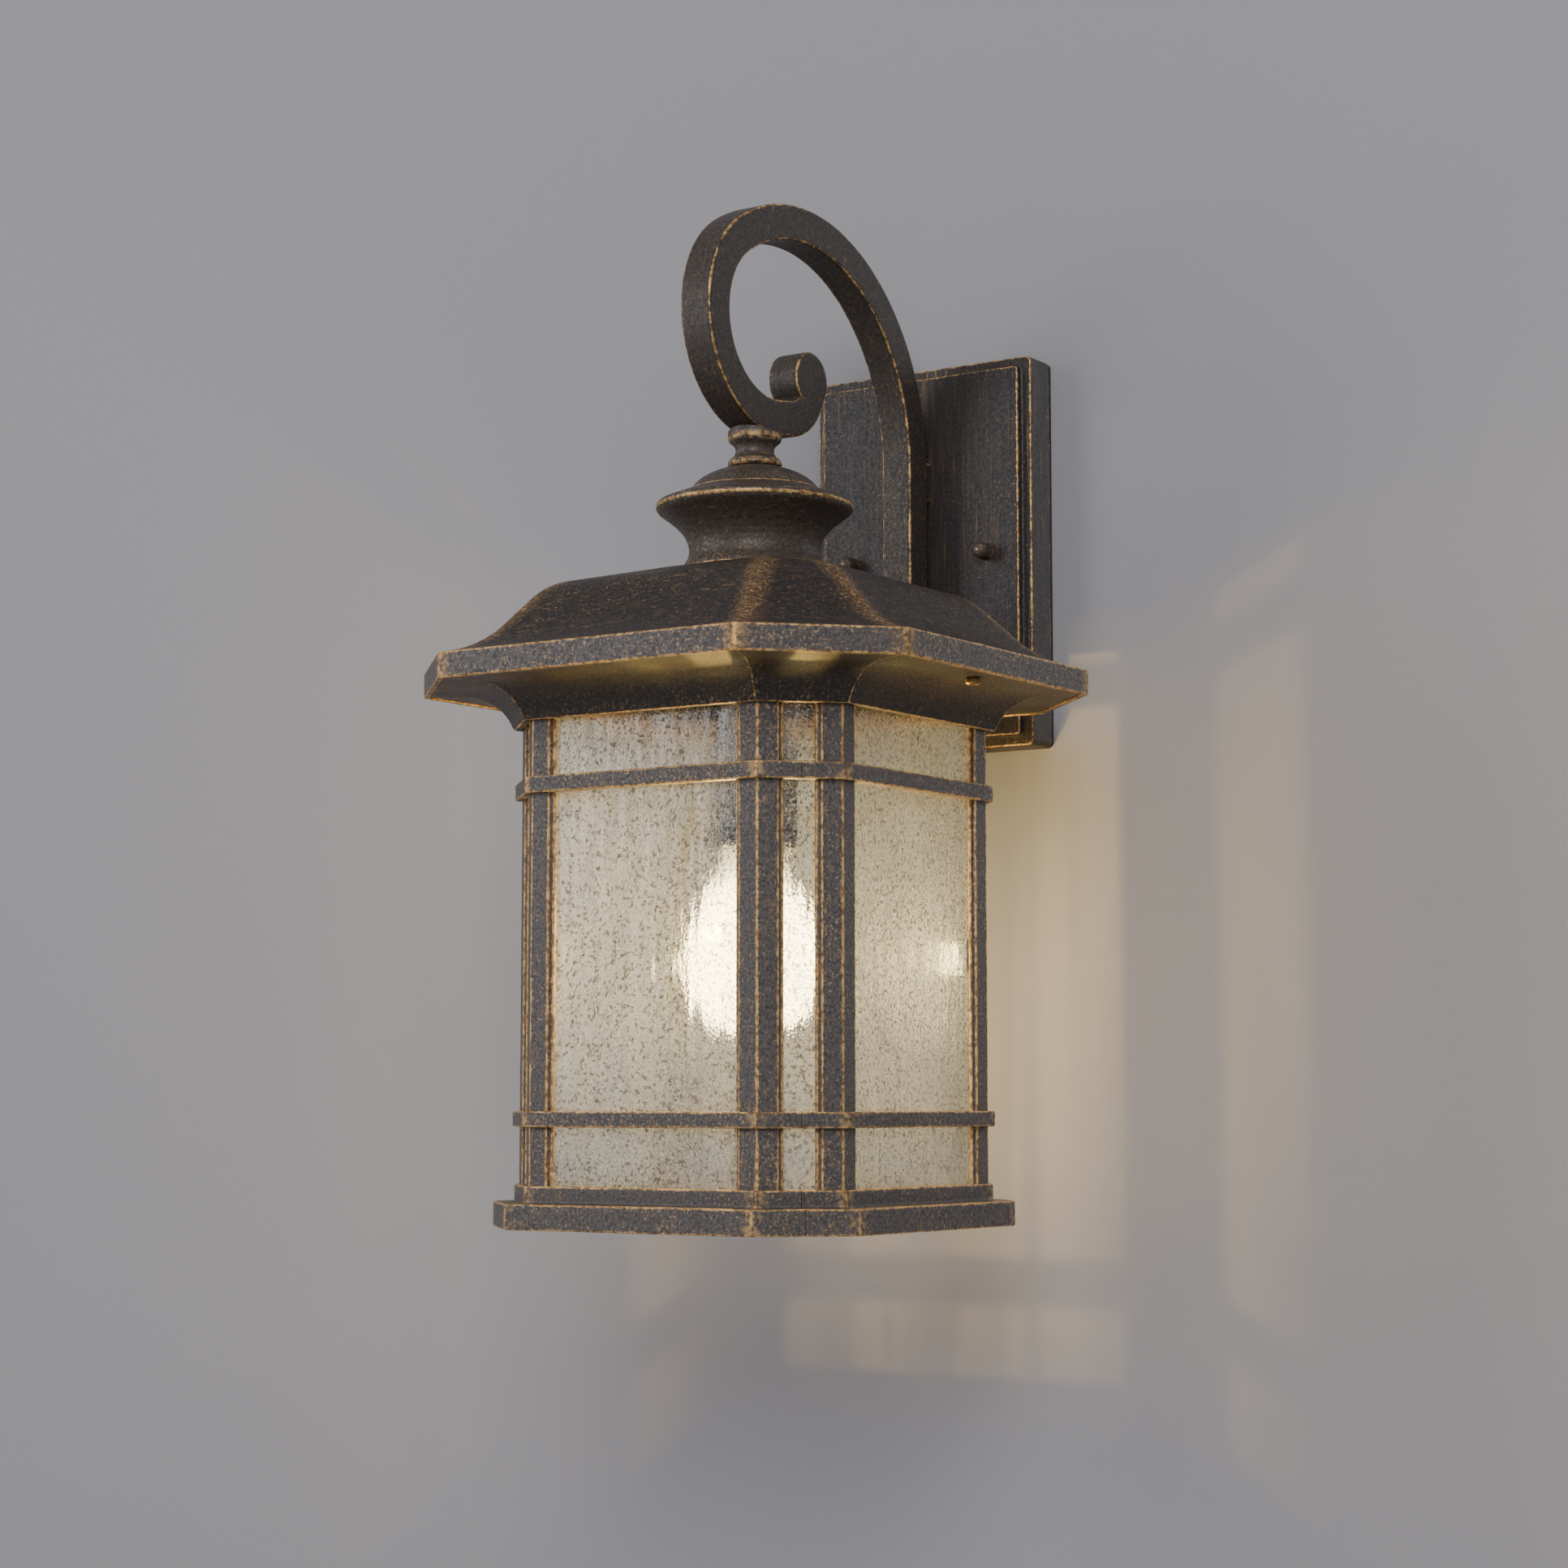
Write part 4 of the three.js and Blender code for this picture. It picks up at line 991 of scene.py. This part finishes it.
def make_screw(x, y, bottom, seat, head_radius, shank_radius, top):
    """A pan-head screw driven upwards."""
    profile = [
        (0, bottom), (head_radius * 0.55, bottom + 0.12), (head_radius * 0.85, bottom + 0.55),
        (head_radius, bottom + 1.2), (head_radius, seat), (shank_radius, seat),
        (shank_radius, top - 0.6), (shank_radius - 0.5, top), (0, top),
    ]
    screw = lathe("screw", profile, (x, y), 40, 0.18)
    return cut(screw, *cross_recess(x, y, bottom, head_radius * 1.05))


BASE_BOTTOM = cage_low[2]
BASE_TOP = BASE_BOTTOM + 11
HEAD_TALL = 2.2
TRAY_SCREW_SEAT = RAIL_TOP - 2.8
BASE_SCREW_SEAT = BASE_TOP - 5.1
for word, x in (("left", -EAVE_X), ("right", EAVE_X)):
    screw = make_screw(x, 0, -86.3, -83.5, 3.4, 1.95, -73)
    finished(screw, brass, f"eave_screw_{word}")
for word, (x, y) in zip(SIDE_NAMES, SCREW_SPOTS):
    seat = TRAY_SCREW_SEAT
    screw = make_screw(x, y, seat - HEAD_TALL, seat, 3.3, 1.9, -83)
    finished(screw, zinc, f"tray_screw_{word}")
    seat = BASE_SCREW_SEAT
    screw = make_screw(x, y, seat - HEAD_TALL, seat, 3.0, 1.5, seat + 7.1)
    finished(screw, bronze_turned, f"base_screw_{word}")

# ---- cage
TIER_TOP = BASE_BOTTOM + 18.5
LOWER_BAND = (-274.4, -267.6)
UPPER_BAND = (-130.2, -122.9)
FRAME_SKIN = 2.6
FACE_FLANGE = 9.3
CORNER_FLANGE = 9.2
LIP = 1.5
RIM_PROUD = 11.0
RIM_SKIN = 3.4
BAND_PROUD = 3.1


def post_outline(side):
    """The post's section. side is -1 for the left corner of the front casting and 1 for the right."""
    def along(offset, on_face, reach):
        x, y = flat_of(offset), -(HALF + offset)
        spot = (x - reach, y) if on_face else (x + reach * SLANT, y + reach * SLANT)
        return (side * spot[0], spot[1])

    half = -FRAME_SKIN / 2
    return [
        along(0, True, FACE_FLANGE), along(0, True, 0), along(0, False, CORNER_FLANGE),
        along(half, False, CORNER_FLANGE), along(half, False, CORNER_FLANGE + LIP),
        along(-FRAME_SKIN, False, CORNER_FLANGE + LIP), along(-FRAME_SKIN, True, 0),
        along(-FRAME_SKIN, True, FACE_FLANGE + LIP), along(half, True, FACE_FLANGE + LIP),
        along(half, True, FACE_FLANGE),
    ]


def post(side):
    """One corner post. Its middle bend is a soft casting edge, so it counts as worn."""
    return extrude_up("post", post_outline(side), 0.55, TIER_TOP - 3, RAIL_TOP - 1)


def band(low, high):
    return face_moulding("band", [
        (BAND_PROUD, low), (BAND_PROUD, high), (-FRAME_SKIN + 0.05, high), (-FRAME_SKIN + 0.05, low),
    ], 0.7)


def make_frame():
    base = face_moulding("base", [
        (RIM_PROUD, BASE_BOTTOM), (RIM_PROUD, BASE_TOP), (2.1, BASE_TOP + 0.3), (2.1, TIER_TOP),
        (-FRAME_SKIN, TIER_TOP), (-FRAME_SKIN, BASE_TOP), (-14, BASE_TOP), (-14, BASE_TOP - 2.5),
        (RIM_PROUD - RIM_SKIN, BASE_TOP - 2.5), (RIM_PROUD - RIM_SKIN, BASE_BOTTOM),
    ], 0.9)
    rail = face_moulding("rail", [
        (0, RAIL_TOP - 8), (0, RAIL_TOP), (FLANGE_END, RAIL_TOP), (FLANGE_END, RAIL_TOP - 2.5),
        (-FRAME_SKIN + 0.03, RAIL_TOP - 2.5), (-FRAME_SKIN + 0.03, RAIL_TOP - 8),
    ], 0.4)
    cut(rail, rod("hole", 2.2, -95, -80, SCREW_SPOTS[0]))
    cut(base, rod("hole", 1.8, -315, -300, SCREW_SPOTS[0]))
    return join(base, rail, band(*LOWER_BAND), band(*UPPER_BAND), post(-1), post(1))


def turned_copy(obj, quarter):
    """A copy of a piece, turned by quarters of a turn about the lantern's axis."""
    copy = obj.copy()
    copy.data = obj.data.copy()
    bpy.context.scene.collection.objects.link(copy)
    axis = Matrix.Translation((0, AXIS_Y * MM, 0))
    copy.data.transform(axis @ Matrix.Rotation(quarter * math.pi / 2, 4, "Z") @ axis.inverted())
    return copy


PANE_THICK = 3.0
WIDE_PANE_HALF = 54.5
NARROW_PANE_HALF = 14.0
PANE_BOTTOM = BASE_TOP + 0.5
PANE_TOP = RAIL_TOP - 3.1
PANE_GAP = 0.3  # between a pane and the casting in front of it
PANE_GRID = (1.7, 3.4)  # millimetres between points, across and up
INNER_SEED = 31


def pane_relief(x, z, seed):
    """How far the cast face of a pane lies below its highest point, from 0 to about 0.8 mm."""
    runs = noise.noise(Vector((x / 3.4 + seed * 9.7, z / 42.0, seed)))
    waves = noise.noise(Vector((x / 15.0 + seed, z / 34.0, seed + 4.2)))
    drops = noise.noise(Vector((x / 2.2, z / 7.5, seed + 8.1)))
    return 0.40 + 0.22 * runs + 0.26 * waves + 0.10 * drops


def make_pane(half_width, reach, angle, seed):
    """A pane with uneven cast faces. angle turns it from the front side to its own side."""
    across = max(8, round(2 * half_width / PANE_GRID[0]))
    up = round((PANE_TOP - PANE_BOTTOM) / PANE_GRID[1])
    outer = reach - FRAME_SKIN - PANE_GAP
    turn = Matrix.Rotation(angle, 3, "Z")
    verts = []
    for face, depth in (("outer", outer), ("inner", outer - PANE_THICK)):
        for j in range(up + 1):
            z = PANE_BOTTOM + (PANE_TOP - PANE_BOTTOM) * j / up
            for i in range(across + 1):
                x = -half_width + 2 * half_width * i / across
                dip = pane_relief(x, z, seed + (0 if face == "outer" else INNER_SEED))
                y = -(depth - dip) if face == "outer" else -(depth + 0.3 - dip * 0.6)
                verts.append(tuple(turn @ Vector((x, y, z))))
    row = across + 1
    count = row * (up + 1)
    faces = []
    for j in range(up):
        for i in range(across):
            a = j * row + i
            faces.append((a, a + 1, a + row + 1, a + row))
            faces.append((count + a, count + a + row, count + a + row + 1, count + a + 1))
    rim = list(range(row)) + [j * row + across for j in range(1, up + 1)]
    rim += [up * row + i for i in reversed(range(across))] + [j * row for j in reversed(range(1, up))]
    for a, b in zip(rim, rim[1:] + rim[:1]):
        faces.append((a, count + a, count + b, b))
    return piece("pane", verts, faces)


side_frame = make_frame()
for turn, word in enumerate(SIDE_NAMES):
    whole = turned_copy(side_frame, turn)
    finished(whole, bronze, f"side_frame_{word}", angle=30)
    angle = turn * math.pi / 2
    wide = make_pane(WIDE_PANE_HALF, HALF, angle, turn + 1.5)
    finished(wide, glass, f"wide_pane_{word}", 50)
    narrow = make_pane(NARROW_PANE_HALF, CUT_REACH, angle + math.pi / 4, turn + 11.5)
    finished(narrow, glass, f"narrow_pane_{word}", 50)
    for letter in "ab":
        carried(f"glass_clip_{word}_{letter}", zinc, 0.2)
bpy.data.objects.remove(side_frame)

carried("base_pan", bronze, 0.4)

# ---- lampholder and lamp
GRIP_Z = (-151.0, -142.6)
RIBS = 36
THREAD_Z = (-146.0, -130.0)
THREAD_PITCH = 3.6


def ribs(r, z, angle):
    """The grip round the lampholder's ring: RIBS low ribs."""
    grip = 0.35 if GRIP_Z[0] < z < GRIP_Z[1] and r > 19 else 0.0
    return r + grip * math.cos(RIBS * angle)


HOLDER_CAP = (
    (BORE, -96.4), (8.6, -96.4), (11.5, -97.3), (14.2, -98.8), (16.6, -101.0), (18.3, -103.8),
    (19.2, -107), (19.5, -110), (19.5, -114), (17.2, -114), (16.8, -106.5), (12, -102.6), (BORE, -101),
)
HOLDER_BODY = (
    (3, -114.3), (18.6, -114.3), (18.6, -140), (16.6, -141), (16.6, -151), (13.7, -151),
    (13.7, -121.5), (3, -121.5),
)
HOLDER_RING = (
    (17, -141.6), (19.4, -141.6), (19.8, -146), (20.9, -148.6), (20.9, -151.6), (17, -151.6),
)


def thread(r, z, angle):
    """The knuckle thread of the lamp's cap: a wave that climbs one pitch per turn."""
    if not (THREAD_Z[0] < z < THREAD_Z[1] and r > 12):
        return r
    return r - 0.35 + 0.35 * math.cos(2 * math.pi * (z / THREAD_PITCH + angle / (2 * math.pi)))


def make_lamp_cap():
    wall = [(13.1, -129.0 - 0.6 * i) for i in range(36)]
    lining = [(12.45, -150.4), (12.45, -129.6), (10, -127), (5, -126.5)]
    profile = [(5, -125.6), (10.5, -125.9), (12.4, -127.4), *wall, *lining]
    return lathe("lamp_cap", profile, sides=64, ripple=thread)


def make_lamp_glass():
    outer = [
        (12.1, -136), (12.1, -151), (12.5, -153.5), (13.6, -157), (15.4, -161.5), (17.8, -166.4),
        (20.2, -171), (22.7, -176), (25.1, -181.4), (27.1, -187), (28.6, -192.6), (29.4, -198),
        (29.6, -203), (29.3, -208), (28.4, -213), (26.9, -217.8), (24.8, -222.2), (22, -226),
        (18.6, -229.1), (14.8, -231.4), (10.6, -233), (6, -233.75), (0, -233.9),
    ]
    inner = [(max(0.0, r - 1.0), z + (0.9 if z < -205 else 0.0)) for r, z in reversed(outer)]
    inner[0] = (0.0, -232.9)
    return lathe("lamp_glass", outer + inner, sides=72, radius=0.2)


low, high = box_mm("stem_cover")
finished(tube("stem", BORE, 8.0, low[2], high[2]), bronze_turned, "stem_cover")
for word, made in (
    ("cap", lathe("holder", HOLDER_CAP, sides=64, radius=0.5)),
    ("body", lathe("holder", HOLDER_BODY, sides=64, radius=0.5)),
    ("ring", lathe("holder", HOLDER_RING, sides=144, ripple=ribs)),
):
    finished(made, black_plastic, f"lampholder_{word}")
finished(make_lamp_cap(), zinc, "bulb_cap", 50)
finished(make_lamp_glass(), lamp_glass, "bulb_glass", 60)
carried("bulb_contact", black_plastic, 0.2)
carried("bulb_core", nylon, 0.3)
for name in ("bulb_glass", "bulb_core", "bulb_contact"):
    shown = bpy.data.objects.get(name + "_fine") or frame["nodes"][name]
    shown.visible_shadow = False  # the light inside gets out

# ---- small CAD pieces
for name in (
    "wall_bracket", "roof_washer", "roof_nut", "threaded_nipple", "arm_screw_upper", "arm_screw_lower",
):
    carried(name, zinc)
for name in ("bracket_stud_left", "bracket_stud_right"):
    carried(name, zinc, 0.2)
carried("earth_screw", brass)
carried("terminal_block", nylon, 0.4)
carried("backplate_gasket", foam, 0)
carried("inner_lead", silicone, 0)

# ---- wall, floor, light
def stage_look(name, colour, one_sided):
    """A plain painted surface. One side of the wall is left open, so that views from behind pass."""
    made, tree = material(name)
    fine = grain(tree, 1.5, 3.0)
    shader = node(tree, "BsdfPrincipled", {
        "Base Color": (*colour, 1.0), "Roughness": 0.85, "Normal": bump(tree, fine, 0.25, 0.1),
    }).outputs[0]
    if one_sided:
        back = node(tree, "NewGeometry").outputs["Backfacing"]
        clear = node(tree, "BsdfTransparent").outputs[0]
        shader = node(tree, "MixShader", {0: back, 1: shader, 2: clear}).outputs[0]
    output(tree, shader)
    return made


def stage_sheet(name, corners, look):
    mesh = bpy.data.meshes.new(name)
    mesh.from_pydata(corners, [], [tuple(range(len(corners)))])
    mesh.materials.append(look)
    obj = placed(name, mesh)
    return obj


WALL_COLOUR = (0.30, 0.295, 0.315)
FLOOR_COLOUR = (0.55, 0.55, 0.56)
FLOOR_Z = -1.1
WALL_Y = 0.0004
wall = stage_sheet("wall", [
    (-3, WALL_Y, FLOOR_Z), (3, WALL_Y, FLOOR_Z), (3, WALL_Y, 2.6), (-3, WALL_Y, 2.6),
], stage_look("wall_paint", WALL_COLOUR, True))
wall.visible_shadow = False
stage_sheet("floor", [
    (-3, -4, FLOOR_Z), (3, -4, FLOOR_Z), (3, 2, FLOOR_Z), (-3, 2, FLOOR_Z),
], stage_look("floor_paint", FLOOR_COLOUR, False))

LANTERN_MIDDLE = Vector((0, AXIS_Y * MM, -0.12))


def soft_light(name, place, size, power, colour):
    data = bpy.data.lights.new(name, "AREA")
    data.shape = "RECTANGLE"
    data.size, data.size_y = size
    data.energy = power
    data.color = colour
    obj = placed(name, data)
    obj.location = place
    obj.rotation_euler = (Vector(place) - LANTERN_MIDDLE).to_track_quat("Z", "Y").to_euler()


soft_light("key", (-1.7, -1.7, 0.45), (1.0, 1.3), 17, (0.98, 0.98, 1.0))
soft_light("fill", (1.25, -2.5, 1.0), (1.1, 1.3), 45, (1.0, 0.985, 0.97))
soft_light("back", (0.6, 1.6, 0.4), (1.2, 1.2), 7, (1.0, 1.0, 1.0))

LAMP_POWER = 1.3
LAMP_SOURCE_Z = -0.190
lamp = bpy.data.lights.new("lamp", "POINT")
lamp.energy = LAMP_POWER
lamp.shadow_soft_size = 0.003
lamp.color = (1.0, 0.66, 0.18)
placed("lamp", lamp).location = (0, AXIS_Y * MM, LAMP_SOURCE_Z)

world = bpy.data.worlds.new("studio")
world.use_nodes = True
sky = world.node_tree.nodes["Background"].inputs
sky["Color"].default_value = (0.64, 0.63, 0.655, 1)
sky["Strength"].default_value = 0.75
bpy.context.scene.world = world
